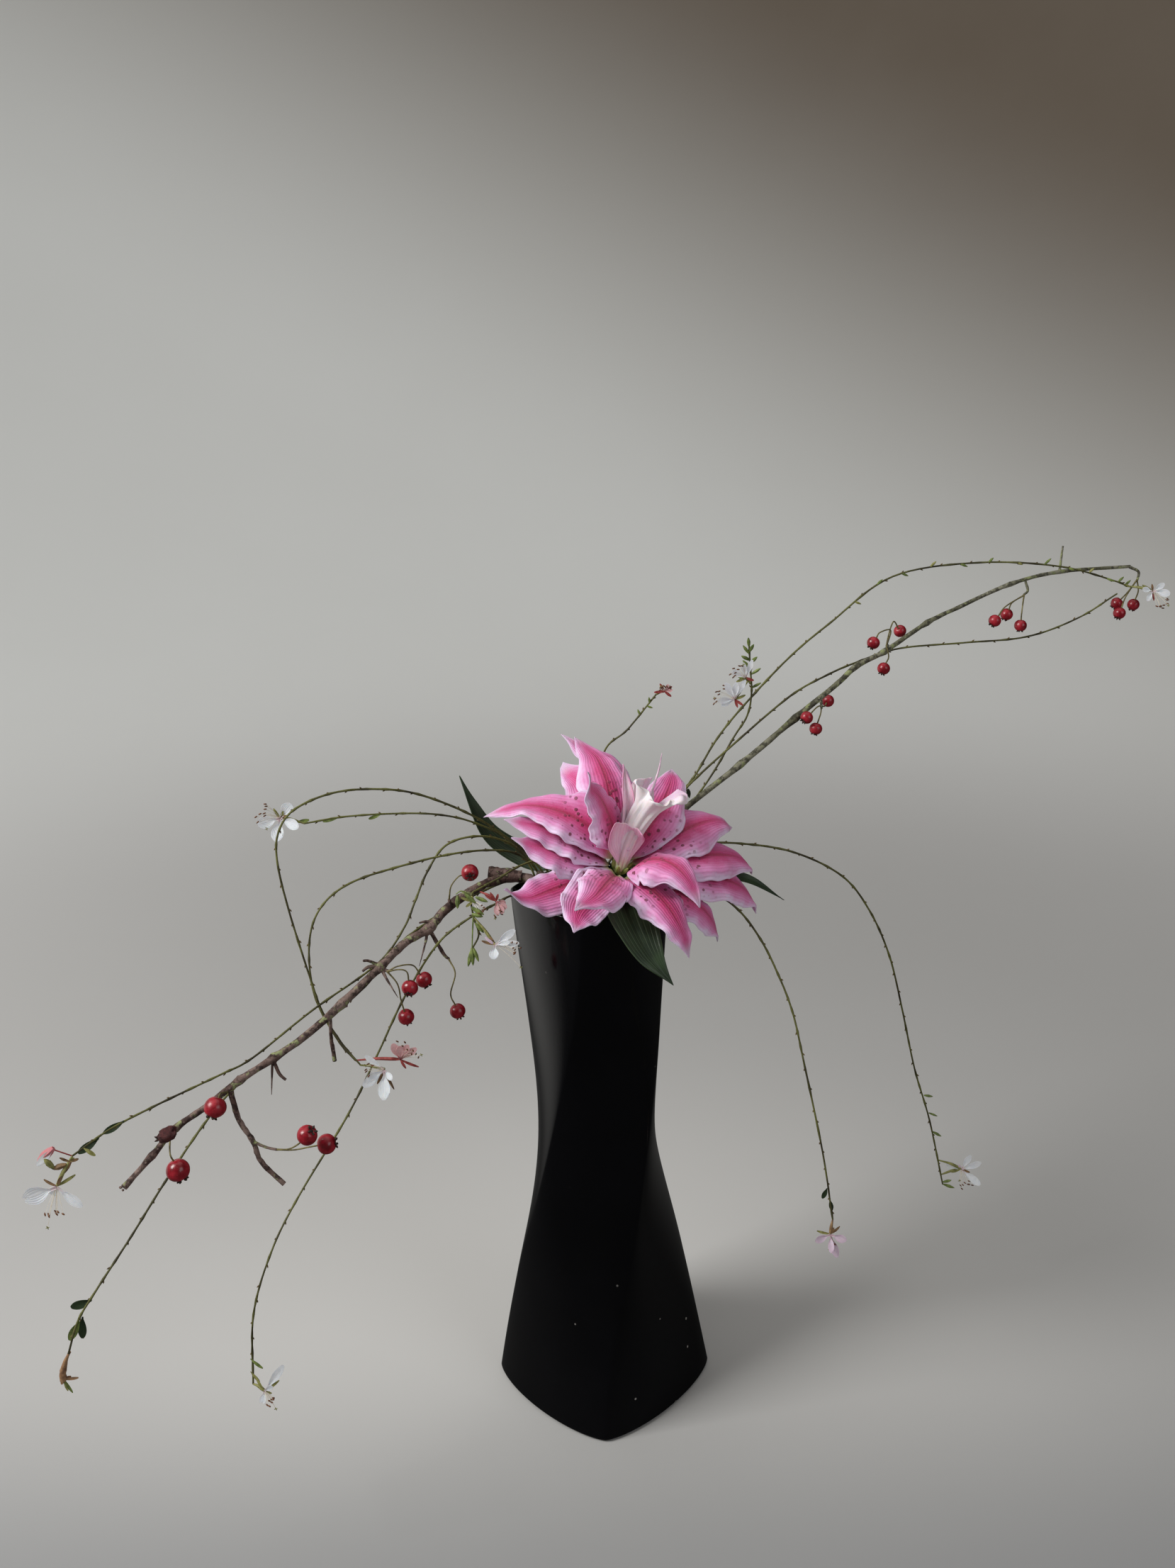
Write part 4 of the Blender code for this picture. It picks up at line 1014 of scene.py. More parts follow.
def makeTepalUpper():
    material, tree, shader = newMaterial("lilyTepalUpper", Subsurface_Weight=0.12, Subsurface_Scale=0.003,
                                         Sheen_Weight=0.12, Specular_IOR_Level=0.3)
    shader.inputs["Subsurface Radius"].default_value = (1.0, 0.35, 0.5)
    veins = useGroup(tree, veinGroup, Count=9, Wander=0.10, Sharpness=1.6)
    side, along = veins["Side"], veins["Along"]
    patches = patchesOf(tree, 85, 4, 0.22)
    fine = patchesOf(tree, 1100, 2, 0.3)
    uneven = maths(tree, "MULTIPLY_ADD", patches, 0.22, side)
    body = mix(tree, fade(tree, uneven, 0.15, 0.95), colour("d6478f"), colour("e79ad0"))
    flush = times(tree, fade(tree, uneven, 0.05, 0.62, 1.0, 0.0), fade(tree, along, 0.45, 0.95, 1.0, 0.0))
    tone = mix(tree, times(tree, flush, 0.8), body, colour("c21a60"))
    streak = times(tree, fade(tree, side, 0.02, 0.13, 1.0, 0.0), fade(tree, along, 0.55, 0.92, 1.0, 0.0))
    tone = tint(tree, streak, 0.85, tone, "a30d45")
    tone = tint(tree, veins["Veins"], 0.22, tone, "b8386f")
    pale = maths(tree, "MAXIMUM", fade(tree, uneven, 0.74, 1.10), fade(tree, along, 0.84, 1.0))
    tone = tint(tree, pale, 0.85, tone, "eddaf6")
    heart = fade(tree, along, 0.0, 0.09, 1.0, 0.0)
    tone = mix(tree, heart, tone, colour("b8bf7e"))
    spots = useGroup(tree, speckGroup, Scale=250, Size=0.38, Share=0.66)["Specks"]
    zone = times(tree, fade(tree, along, 0.05, 0.16), fade(tree, along, 0.36, 0.60, 1.0, 0.0))
    zone = times(tree, zone, fade(tree, side, 0.72, 0.94, 1.0, 0.0))
    spots = times(tree, spots, zone)
    tone = tint(tree, spots, 0.92, tone, "6c0a2a")
    feed(tree, shader.inputs["Base Color"], tint(tree, fine, 0.10, tone, "f6d6e6"))
    feed(tree, shader.inputs["Roughness"], fade(tree, fine, 0.0, 1.0, 0.42, 0.6))
    height = maths(tree, "ADD", times(tree, veins["Veins"], 0.35), times(tree, fine, 0.12))
    addBump(tree, shader, maths(tree, "ADD", height, times(tree, spots, 1.2)), 0.6, 0.0008)
    return material


def makeTepalUnder():
    material, tree, shader = newMaterial("lilyTepalUnder", Subsurface_Weight=0.12, Subsurface_Scale=0.003,
                                         Sheen_Weight=0.12, Specular_IOR_Level=0.3)
    veins = useGroup(tree, veinGroup, Count=9, Wander=0.10, Sharpness=1.6)
    side, along = veins["Side"], veins["Along"]
    patches = patchesOf(tree, 85, 4, 0.22)
    uneven = maths(tree, "MULTIPLY_ADD", patches, 0.3, side)
    tone = mix(tree, fade(tree, uneven, 0.1, 0.9), colour("d67ab8"), colour("e8c6e8"))
    tone = tint(tree, veins["Veins"], 0.3, tone, "cc6d9b")
    keel = times(tree, fade(tree, side, 0.03, 0.14, 1.0, 0.0), fade(tree, along, 0.2, 0.9, 1.0, 0.2))
    tone = tint(tree, keel, 0.4, tone, "d9b0a4")
    tone = mix(tree, fade(tree, along, 0.0, 0.12, 1.0, 0.0), tone, colour("b9c27c"))
    feed(tree, shader.inputs["Base Color"], tone)
    feed(tree, shader.inputs["Roughness"], fade(tree, patches, 0.0, 1.0, 0.45, 0.6))
    addBump(tree, shader, veins["Veins"], 0.4, 0.0004)
    return material


def makePetaloidSkin(name, deep, pale, throat, rosy):
    material, tree, shader = newMaterial(name, Subsurface_Weight=0.15, Subsurface_Scale=0.003,
                                         Specular_IOR_Level=0.3)
    veins = useGroup(tree, veinGroup, Count=6, Wander=0.12, Sharpness=1.8)
    side, along = veins["Side"], veins["Along"]
    patches = patchesOf(tree, 110, 4, 0.2)
    tone = mix(tree, times(tree, patches, 0.5), colour(pale), colour(deep))
    tone = mix(tree, times(tree, veins["Veins"], 0.35), tone, colour(deep))
    blush = times(tree, fade(tree, side, 0.45, 0.95), fade(tree, along, 0.3, 0.9))
    tone = mix(tree, times(tree, blush, 0.8), tone, colour(rosy))
    tone = mix(tree, fade(tree, along, 0.0, 0.22, 1.0, 0.0), tone, colour(throat))
    feed(tree, shader.inputs["Base Color"], tone)
    feed(tree, shader.inputs["Roughness"], fade(tree, patches, 0.0, 1.0, 0.4, 0.58))
    addBump(tree, shader, veins["Veins"], 0.45, 0.0006)
    return material


def finishBlade(name, bm, materials, nodes, thickness, levels=1):
    piece = finishPiece(name, bm, materials, nodes, closed=False, sharp=180)
    wall = piece.modifiers.new("thickness", "SOLIDIFY")
    wall.thickness = thickness
    wall.offset = 0
    wall.use_quality_normals = True
    if len(materials) > 1:
        wall.material_offset = 1
    soft = piece.modifiers.new("soft", "SUBSURF")
    soft.levels = levels
    soft.render_levels = levels
    return piece


def meshOf(grid):
    # a blade whose places are already worked out, row by row
    rows, columns = len(grid) - 1, len(grid[0]) - 1
    bm = newMesh()
    addBlade(bm, columns, rows, lambda side, s: grid[round(s * rows)][round((side + 1) / 2 * columns)])
    return bm


def pieceName(node):
    first, *rest = node.split("_")
    return first + "".join(part.title() for part in rest) + "Fine"


def treeOf(grid):
    bm = meshOf(grid)
    tree = BVHTree.FromBMesh(bm)
    bm.free()
    return tree


def makeLily():
    shape = lilyShape
    upper, under = makeTepalUpper(), makeTepalUnder()
    cream = makePetaloidSkin("petaloidCream", "ead8d6", "f8f0f5", "dfe0b4", "ecc6e2")
    rosy = makePetaloidSkin("petaloidRose", "e9b9d2", "f8e3ee", "cfd39a", "e295bd")
    trees = []
    rows, columns = shape["stepsAlong"], shape["stepsAcross"]
    draw = random.Random(12)
    for name, (azimuth, drift, rise, tipRise, length, width, roll, curl, hook) in tepals.items():
        spine = tepalSpine(azimuth, drift, rise, tipRise, length, width)
        phase = draw.uniform(0, 1)
        grid = [[tepalPoint(spine, 2 * j / columns - 1, i / rows, roll, curl, hook, shape["wave"], phase)
                 for j in range(columns + 1)] for i in range(rows + 1)]
        layOver(trees, grid)
        surface = treeOf(grid)
        raises = 0
        while raises < 12 and any(surface.overlap(tree) for tree in trees):
            grid = [[point + shape["axis"] * shape["raise"] for point in row] for row in grid]
            surface = treeOf(grid)
            raises += 1
        trees.append(surface)
        finishBlade(pieceName(name), meshOf(grid), [upper, under], [name], shape["thickness"])
    makePetaloids(cream, rosy)


def makePetaloids(cream, rosy):
    axis, centre = lilyShape["axis"], lilyShape["centre"]

    def funnel(side, s):
        # a blade rolled into a ribbed funnel whose lobed mouth folds outwards
        line = Vector((0.031, 0.002, 0.056)) * s + Vector((-0.004, -0.004, 0.004)) * math.sin(math.pi * s)
        opening = 0.0040 + 0.0062 * s**1.1
        turn = math.radians(250) + side * math.radians(160 - 34 * s)
        out = lilyRight * math.cos(turn) + lilyBack * math.sin(turn)
        flare = smoothStep(0.70, 1.0, s)
        lobe = 0.5 + 0.5 * math.cos(side * math.pi * 3.1 - 0.4)
        rib = 0.0007 * math.cos(side * math.pi * 7) * smoothStep(0.0, 0.2, s)
        crinkle = 0.0010 * math.sin(side * 17 + s * 5) * flare
        reach = opening + rib + crinkle + flare * (0.001 + 0.008 * lobe)
        point = centre + axis * 0.003 + line + out * reach
        return point + axis * flare * (0.011 * lobe - 0.003) - axis * 0.010 * lobe * smoothStep(0.88, 1.0, s)

    bm = newMesh()
    addBlade(bm, 56, 40, funnel)
    finishBlade("petaloidCurlFine", bm, [cream], ["petaloid_curl"], 0.0007)

    def cup(side, s):
        # a short spoon that faces the front, notched at its end and with one corner folded over
        along = Vector((0.13, -0.42, 0.86)).normalized()
        across = Vector((0.97, 0.22, 0.05)).normalized()
        facing = across.cross(along)
        half = 0.0128 * (0.20 + 0.80 * smoothStep(0.0, 0.70, s)) * (1 - 0.10 * smoothStep(0.85, 1.0, s))
        notch = 0.0030 * math.exp(-((side - 0.25) / 0.30) ** 2) * smoothStep(0.7, 1.0, s)
        hollow = (1 - side**2) * half * 0.55
        ruffle = 0.0009 * math.sin(side * 8 + s * 4) * smoothStep(0.5, 1, s)
        fold = 0.004 * smoothStep(0.55, 1.0, side) * smoothStep(0.6, 1.0, s)
        slant = 0.005 * side * smoothStep(0.5, 1.0, s)
        point = centre + axis * 0.004 - facing * 0.002 + along * (0.038 * s - notch - slant)
        point = point + across * (side * half - fold * 0.5) - facing * (hollow - 0.004)
        return point + facing * (ruffle + fold)

    bm = newMesh()
    addBlade(bm, 26, 26, cup)
    finishBlade("petaloidCupFine", bm, [rosy], ["petaloid_cup"], 0.0007)

    def slimBlade(lean, length, width, turn, fold):
        # a slim folded blade that stands beside the funnel
        across = Vector((math.cos(math.radians(turn)), math.sin(math.radians(turn)), 0))
        out = across.cross(Vector(lean)).normalized()

        def place(side, s):
            half = width / 2 * max(math.sin(math.pi * min(0.10 + 0.90 * s, 1)) ** 0.75, 0.03)
            middle = centre + Vector(lean) * length * s + out * 0.006 * math.sin(math.pi * s)
            middle = middle - across * 0.003 * s * s
            wave = 0.0010 * math.sin(s * 16 + side * 2) * side * side
            return middle + across * side * half + out * (abs(side) * half * fold + wave)

        return place

    blades = {"petaloidLeftBlade": ((0.10, 0.14, 0.98), 0.074, 0.0105, 25, 0.9),
              "petaloidRightBlade": ((0.36, 0.22, 0.88), 0.060, 0.0130, 150, 0.6),
              "petaloidBackBlade": ((0.24, 0.18, 0.94), 0.064, 0.0150, 5, -0.5)}
    for name, values in blades.items():
        bm = newMesh()
        addBlade(bm, 14, 30, slimBlade(*values))
        finishBlade(name, bm, [rosy if "Left" in name else cream], (), 0.0007)

    bm = newMesh()
    spike = [axis * 0.020, *metres([(20, 6, 45), (28, 12, 64), (31, 12, 78)])]
    path = smoothRoute([centre + point for point in spike], 6)
    growTube(bm, ringsAlong(path, blend(0.0016, 0.0002, len(path)), 8))
    blush = mottledMaterial("spikeBlush", "dbaecb", "f6e6f0", 300, (0.4, 0.55))
    finishPiece("petaloidSpike", bm, [blush], ())

    bm = newMesh()
    for k in range(6):
        out = radial(math.tau * k / 6)
        addBud(bm, centre + out * 0.0035, axis + out * 0.35, 0.010, 0.0034, 0)
    addBall(bm, centre + axis * 0.001, (0.0045, 0.0035), axis, 0, 14)
    heart = mottledMaterial("lilyHeart", "6f8a35", "b6c377", 220, (0.35, 0.5))
    finishPiece("lilyHeartGreen", bm, [heart], ())


makeLily()
print("lily made")


# The lily's stem and leaves

leafShape = {"stepsAlong": 34, "stepsAcross": 14, "thickness": 0.0006, "ridges": 7, "ridge": 0.00012}
lilyLeaves = {
    "lily_leaf_front": ([
        (17.5, -18.5, 376), (20.5, -30, 403.3), (24, -43, 405.8), (29, -59, 396),
        (38, -73, 381), (53, -81, 362.5)], (0.35, -0.80, 0.50), 0.036),
    "lily_leaf_left": ([
        (4, -2, 374), (-10, 18, 394), (-23.5, 38.5, 404.5), (-45, 45, 408),
        (-69, 48, 424), (-81, 50, 446), (-90, 52, 469)], (0.45, -0.80, 0.40), 0.018),
    "lily_leaf_back": ([
        (8, -4, 386), (-3, 10, 400), (-12, 17, 406), (-21, 20, 411),
        (-29, 21, 419), (-34, 21, 425)], (0.40, -0.70, 0.60), 0.016),
    "lily_leaf_right": ([
        (20.5, -10.5, 388), (36, -4, 401), (58, 3, 407), (90, 12, 402),
        (115, 19, 394), (140, 24, 376)], (0.20, -0.50, 0.85), 0.013),
}


def makeLeafSkin(name, dark, light, vein):
    material, tree, shader = newMaterial(name, Specular_IOR_Level=0.45, Coat_Weight=0.1, Coat_Roughness=0.3)
    veins = useGroup(tree, veinGroup, Count=5, Wander=0.03, Sharpness=7)
    side = veins["Side"]
    patches = patchesOf(tree, 60, 4, 0.2)
    fine = patchesOf(tree, 1300, 2, 0.3)
    tone = mix(tree, patches, colour(dark), colour(light))
    tone = mix(tree, times(tree, veins["Veins"], 0.55), tone, colour(vein))
    tone = mix(tree, fade(tree, side, 0.93, 1.0, 0.0, 0.7), tone, colour(vein))
    feed(tree, shader.inputs["Base Color"], tint(tree, fine, 0.15, tone, light))
    feed(tree, shader.inputs["Roughness"], fade(tree, fine, 0.0, 1.0, 0.38, 0.55))
    addBump(tree, shader, maths(tree, "SUBTRACT", times(tree, fine, 0.2), veins["Veins"]), 0.4, 0.0004)
    return material


leafUpper = makeLeafSkin("leafUpper", "1a2917", "2f4227", "48593a")
leafUnder = makeLeafSkin("leafUnder", "4c6136", "6f8550", "869a62")


def makeLeaf(name, route, facing, width):
    shape = leafShape
    rows, columns = shape["stepsAlong"], shape["stepsAcross"]
    path = smoothRoute(metres(route), 12)
    facing = Vector(facing).normalized()
    spread = 1 if name == "lily_leaf_front" else 0.7

    def place(side, s):
        position = s * (len(path) - 1)
        i = min(int(position), len(path) - 2)
        point = path[i].lerp(path[i + 1], position - i)
        along = (path[min(i + 2, len(path) - 1)] - path[max(i - 1, 0)]).normalized()
        across = facing.cross(along).normalized()
        up = along.cross(across)
        half = width / 2 * bladeWidth(s)
        ridge = shape["ridge"] * math.cos(side * math.pi * shape["ridges"])
        wave = 0.0009 * spread * math.sin(s * 15 + side * 2) * side**2
        keel = -0.0007 * math.exp(-((side * half / 0.0009) ** 2)) * (1 - s)
        return point + across * side * half + up * (abs(side) * half * 0.25 + ridge + wave + keel)

    bm = newMesh()
    addBlade(bm, columns, rows, lambda side, s: place(-side, s))
    bmesh.ops.reverse_faces(bm, faces=bm.faces)
    finishBlade(pieceName(name), bm, [leafUpper, leafUnder], [name], shape["thickness"])


lilyStem = {"route": [(6, -6, 200), (11, -9, 330), (15.5, -12.5, 390)], "radius": 0.0035, "swell": 0.0032}


def makeLilyStem():
    centre, axis = lilyShape["centre"], lilyShape["axis"]
    shape = lilyStem
    foot = Vector((0.004, -0.004, vaseShape["floor"] + 0.0006))
    top = centre - axis * 0.0015
    path = smoothRoute([foot, *metres(shape["route"]), top - axis * 0.007, top], 10)
    radii = [shape["radius"] * (1 + 0.05 * noise.noise(point * 60)) for point in path[:-10]]
    radii += [shape["radius"] + shape["swell"] * smoothStep(0, 10, k) for k in range(1, 11)]
    bm = newMesh()
    growTube(bm, ringsAlong(path, radii, 18, 0.04, 200))
    skin = mottledMaterial("lilyStemSkin", "2c4420", "54743a", 90, (0.4, 0.55))
    finishPiece("lilyStemFine", bm, [skin], ["lily_stem"])


makeLilyStem()
for leafName, (leafRoute, leafFacing, leafWidth) in lilyLeaves.items():
    makeLeaf(leafName, leafRoute, leafFacing, leafWidth)
print("leaves made")


# Gaura flowers: four clawed petals, narrow sepals, eight stamens and a long style

def makePetalSkin(name, pale, shade, blush):
    material, tree, shader = newMaterial(name, Subsurface_Weight=0.10, Subsurface_Scale=0.002,
                                         Specular_IOR_Level=0.3)
    veins = useGroup(tree, veinGroup, Count=4, Wander=0.15, Sharpness=2.5)
    patches = patchesOf(tree, 300, 3, 0.25)
    tone = mix(tree, times(tree, patches, 0.5), colour(pale), colour(shade))
    tone = mix(tree, times(tree, veins["Veins"], 0.35), tone, colour(shade))
    tone = mix(tree, fade(tree, veins["Along"], 0.0, 0.3, 0.8, 0.0), tone, colour(blush))
    feed(tree, shader.inputs["Base Color"], tone)
    feed(tree, shader.inputs["Roughness"], fade(tree, patches, 0.0, 1.0, 0.4, 0.6))
    addBump(tree, shader, veins["Veins"], 0.4, 0.0003)
    return material


whitePetal = makePetalSkin("gauraPetalWhite", "fbfbfd", "d9e0ea", "f0d3d6")
pinkPetal = makePetalSkin("gauraPetalPink", "e8b9ba", "cf8f95", "c06a70")
lilacPetal = makePetalSkin("gauraPetalLilac", "e9d2e2", "cbaac3", "dfbcc3")
filamentSkin = mottledMaterial("filament", "d8cdb9", "f1ebe0", 600)
antherSkin = mottledMaterial("anther", "3f2418", "87552f", 700)
sepalGreen = mottledMaterial("sepalGreen", "6a6a34", "a3a061", 300)
sepalRed = mottledMaterial("sepalRed", "7d2b28", "b4514b", 300)
sepalBrown = mottledMaterial("sepalBrown", "5d4330", "9a7a50", 300)
witheredSkin = mottledMaterial("withered", "6d4a34", "b08a63", 260)
flowerSkins = [whitePetal, pinkPetal, lilacPetal, filamentSkin, antherSkin, sepalGreen, sepalRed, sepalBrown,
               witheredSkin, leafUpper, budGreen]
white, pink, lilac, filament, anther, green, red, brown, withered, leaf, bud = range(len(flowerSkins))


flowerShape = {
    "petalThickness": 0.00034,
    "sepalWidth": 0.0019,
    "ovary": 0.0006,
    "claw": 0.22,
    "notch": 0.14,
}


def aimed(angle, lean):
    # a direction from its angle in the upright plane that faces the front, and its lean to the front
    turn = math.radians(angle)
    return Vector((math.cos(turn), -lean, math.sin(turn))).normalized()


def addPetal(bm, base, angle, length, width, lean, slot, curl=0.25, claw=0.25, notch=0.0, steps=(6, 9)):
    # a paddle on a thin claw, slightly cupped and bent back at its end
    along = aimed(angle, lean)
    facing = (Vector((0, -1, 0)) - along * -along.y).normalized()
    across = along.cross(facing)

    def place(side, s):
        body = max((s - claw) / (1 - claw), 0)
        paddle = math.sin(math.pi * min(body * 0.93 + 0.03, 1)) ** 0.7 * (0.75 + 0.35 * body)
        half = width / 2 * max(paddle, 0.12 * (1 - s) + 0.06)
        reach = s - notch * smoothStep(0.8, 1.0, s) * math.exp(-((side / 0.4) ** 2))
        bend = -curl * length * 0.35 * s * s
        cupping = 0.16 * width * side * side * (1 - s)
        return base + along * length * reach + across * side * half + facing * (bend + cupping)

    addBlade(bm, *steps, place, slot, flowerShape["petalThickness"])


def addThread(bm, base, angle, length, lean, slot, radius=0.00017, droop=0.15, tip=None, tipSize=0.0):
    along = aimed(angle, lean)
    end = base + along * length + Vector((0, 0, -droop * length))
    path = smoothRoute([base, base + along * length * 0.5, end], 3)
    growTube(bm, ringsAlong(path, blend(radius, radius * 0.7, len(path)), 4), slot)
    if tip is not None:
        addBall(bm, path[-1], (tipSize * 0.45, tipSize), aimed(angle + 50, lean), tip, 6)
    return path[-1]


# centre, colour, ovary from, petals (angle, length, width, lean), sepals (angle, length, lean),
# stamens (angle, spread, length), style (angle, length); lengths in millimetres
flowers = {
    "gaura_flower_1": ((-137, -86, 312), white, (-154, -78, 311),
        [(-146, 17, 7, 0.3), (-92, 19, 8.5, 0.5), (139, 15, 4.5, 0.1), (-160, 13, 6, 0.6),
         (-45, 8, 4.5, 0.8)],
        [(-70, 15, 0.3, brown), (-118, 12, 0.2, brown), (160, 9, -0.2, green)], (165, 30, 12), (150, 14)),
    "gaura_flower_2": ((-204, -19, 465), white, (-190, -12, 458),
        [(50, 13, 9, 0.2), (-22, 14, 8, 0.4), (-102, 15, 9, 0.5), (-170, 14.5, 9.5, 0.3)],
        [(115, 8, 0.5, green), (60, 6, 0.6, green), (25, 6, 0.7, brown)], (143, 28, 15), (-150, 11)),
    "gaura_flower_3": ((-311, -198, 306), white, (-303, -190, 320),
        [(-163, 19, 12, 0.3), (-44, 18, 7, 0.2), (-125, 12, 5, -0.4)],
        [(28, 12, 0.1, green), (150, 8, 0.2, brown), (60, 7, 0.3, brown)], (-98, 20, 15), (-107, 23)),
    "gaura_flower_4": ((-128, -75, 313), pink, (-160, -64, 307),
        [(108, 12, 6, 0.2), (84, 13, 5.5, 0.5), (62, 13, 5.5, 0.3), (38, 14, 5, 0.2)],
        [(-29, 13, 0.2, red), (-60, 7, 0.5, red), (170, 6, 0.2, red)], (55, 35, 15), (25, 17)),
    "gaura_flower_5": ((-221, -152, 118), white, (-229, -148, 120),
        [(54, 24, 5.5, 0.1), (45, 9, 4, 0.4), (-112, 8, 2.5, 0.3), (-92, 8, 2.5, 0.4)],
        [(38, 13, 0.3, green), (120, 11, 0.0, green), (-20, 5, 0.4, green)], (-50, 20, 9), (-55, 13)),
    "gaura_flower_6": ((-64, -41, 378), white, (-78, -33, 395),
        [(40, 18, 5.5, 0.3), (10, 17, 5, 0.4), (-98, 9, 7, 0.7), (22, 12, 4, 0.6)],
        [(140, 8, 0.2, lilac), (165, 9, 0.1, brown), (120, 6, 0.1, brown)], (2, 22, 18), (-36, 22)),
    "gaura_flower_7": ((287, 52, 131), white, (270, 55, 137),
        [(64, 14, 5.5, 0.2), (29, 16, 6, 0.4), (-41, 19, 6.5, 0.3), (184, 11, 5, -0.5)],
        [(-20, 7, 0.6, brown), (200, 8, 0.3, green), (120, 4, 0.3, lilac)], (-72, 22, 14), (-100, 9)),
    "gaura_flower_8": ((158, -83, 173), lilac, (160, -80, 182),
        [(-160, 11, 6, 0.3), (-23, 11, 6.5, 0.3), (-90, 12, 4.5, 0.6), (-75, 17, 5.5, 0.3)],
        [(170, 9, 0.1, green), (35, 8, 0.1, brown), (60, 5, 0.2, brown)], (-80, 16, 9), (-95, 10)),
    "gaura_flower_9": ((108, 58, 517), white, (120, 65, 530),
        [(178, 12, 5, 0.4), (118, 14, 5, 0.3), (85, 12, 5, 0.2), (200, 10, 4, 0.3), (60, 15, 4, 0.0)],
        [(-35, 7, 0.5, red), (-70, 6, 0.4, red), (20, 8, 0.2, green)], (150, 30, 15), (165, 16)),
    "gaura_flower_10": ((432, 136, 571), white, (417, 148, 573),
        [(-10, 12, 6, 0.3), (-125, 8, 4.5, 0.4), (35, 9, 4.5, 0.2), (165, 8, 4, 0.2)],
        [(150, 9, 0.2, green), (-80, 7, 0.4, red), (100, 5, 0.2, brown)], (-50, 26, 13), (-40, 15)),
}


def addFlower(bm, centre, petalSlot, ovaryFrom, petalList, sepalList, stamens, style, draw):
    shape = flowerShape
    centre, start = Vector(centre) / 1000, Vector(ovaryFrom) / 1000
    neck = start.lerp(centre, 0.9)
    path = smoothRoute([start, start.lerp(centre, 0.5) + Vector((0, 0, 0.0008)), neck, centre], 5)
    shares = [k / (len(path) - 1) for k in range(len(path))]
    sizes = [shape["ovary"] * (1 + math.sin(math.pi * share) ** 2) + 0.0003 * smoothStep(0.7, 1, share)
             for share in shares]
    growTube(bm, ringsAlong(path, sizes, 8), {white: green, pink: red}.get(petalSlot, brown))
    for angle, length, width, lean in petalList:
        base = centre + aimed(angle, lean) * 0.0007
        notch = shape["notch"] if width > 11 else 0.0
        addPetal(bm, base, angle, length / 1000, width / 1000, lean, petalSlot, draw.uniform(0.0, 0.35),
                 shape["claw"], notch, (8, 12))
    for angle, length, lean, slot in sepalList:
        addPetal(bm, centre, angle, length / 1000, shape["sepalWidth"], lean, slot, 0.7, 0.0, 0.0, (3, 8))
    middle, spread, length = stamens
    for k in range(8):
        angle = middle + spread * (k / 3.5 - 1) + draw.uniform(-5, 5)
        reach = length / 1000 * draw.uniform(0.75, 1.1)
        addThread(bm, centre, angle, reach, draw.uniform(0.1, 0.6), filament, 0.00016, 0.12, anther, 0.0012)
    end = addThread(bm, centre, style[0], style[1] / 1000, 0.3, filament, 0.0002, 0.1)
    for k in range(4):
        out = aimed(90 * k + 20, 0.2)
        addBall(bm, end + out * 0.0006, (0.0003, 0.0007), out, green, 6)


def makeFlowers():
    for number, (name, row) in enumerate(flowers.items()):
        bm = newMesh()
        addFlower(bm, *row, random.Random(90 + number))
        finishPiece("gauraFlower" + name.split("_")[-1], bm, flowerSkins, [name])


makeFlowers()
print("gaura flowers made")


# Buds, bracts, small leaves and spent flowers along the stems

# where, angle, lean, length and width in millimetres, finish
bracts = [
    ((255.5, 54.5, 196), -8, 0.1, 7, 2.2, bud), ((260, 55, 180), -22, 0.1, 7.5, 1.8, bud),
    ((264, 55, 163), -28, 0.2, 7.5, 2.4, bud), ((274, 55, 117), 20, 0.2, 7, 2.4, bud),
    ((274.5, 55, 115), -14, 0.3, 9, 2.6, bud), ((272.5, 55, 124), 26, 0.1, 15, 2.0, green),
]
leafBlades = [
    ((-297, -209, 236.5), -157, 0.1, 14, 6, leaf), ((-301.5, -214, 228.5), -98, 0.2, 14, 5.5, leaf),
    ((-303, -216, 227), -122, 0.3, 13, 5, bud), ((156, -77, 205), -112, 0.2, 8, 3.6, leaf),
    ((158, -78, 196.5), -78, 0.2, 8, 3.2, leaf), ((-228.5, -148, 140), -40, 0.3, 10, 2.4, bud),
    ((-229.5, -148, 130), -52, 0.3, 9, 2.2, green), ((-281, -163, 326), -152, 0.3, 14, 4.5, leaf),
    ((-292, -176, 323), -146, 0.3, 15, 5.0, leaf), ((-298, -184, 321.5), -30, 0.4, 8, 3.0, green),
    ((-196, -8, 458), 10, 0.2, 9, 2.6, bud), ((-168, -1, 458.5), 195, 0.1, 12, 2.6, bud),
    ((-141, 6, 457), 200, 0.1, 9, 2.4, bud), ((74.5, 48, 448), 100, 0.2, 7, 3.2, leaf),
]


# where, angle, length and width
hangingBuds = [
    ((-80, -37, 373), -105, 12, 3.2), ((-80, -37, 374), -88, 12, 3.4), ((-79, -37, 374), -70, 10, 3.0),
    ((-79, -33, 402), -30, 10, 3.4), ((-79, -33, 397), -10, 8, 3.2), ((-77, -34, 391), -50, 9, 2.8),
    ((-88, -31, 410), -92, 9, 3.4), ((-83, -31, 411), -40, 10, 3.2), ((-76, -30, 408), -20, 9, 3.0),
]
racemeBuds = [
    ((119, 66, 553), 95, 7, 2.6), ((119, 66, 549), 60, 7, 2.6), ((119, 66, 548), 125, 8, 2.6),
    ((120, 66, 543), 150, 8, 2.8), ((120, 66, 541), 45, 7, 2.6), ((120, 66, 537), 130, 9, 2.8),
    ((121, 66, 533), 35, 8, 2.6), ((121, 66, 528), 160, 11, 2.8), ((121, 66, 523), 30, 8, 2.4),
]
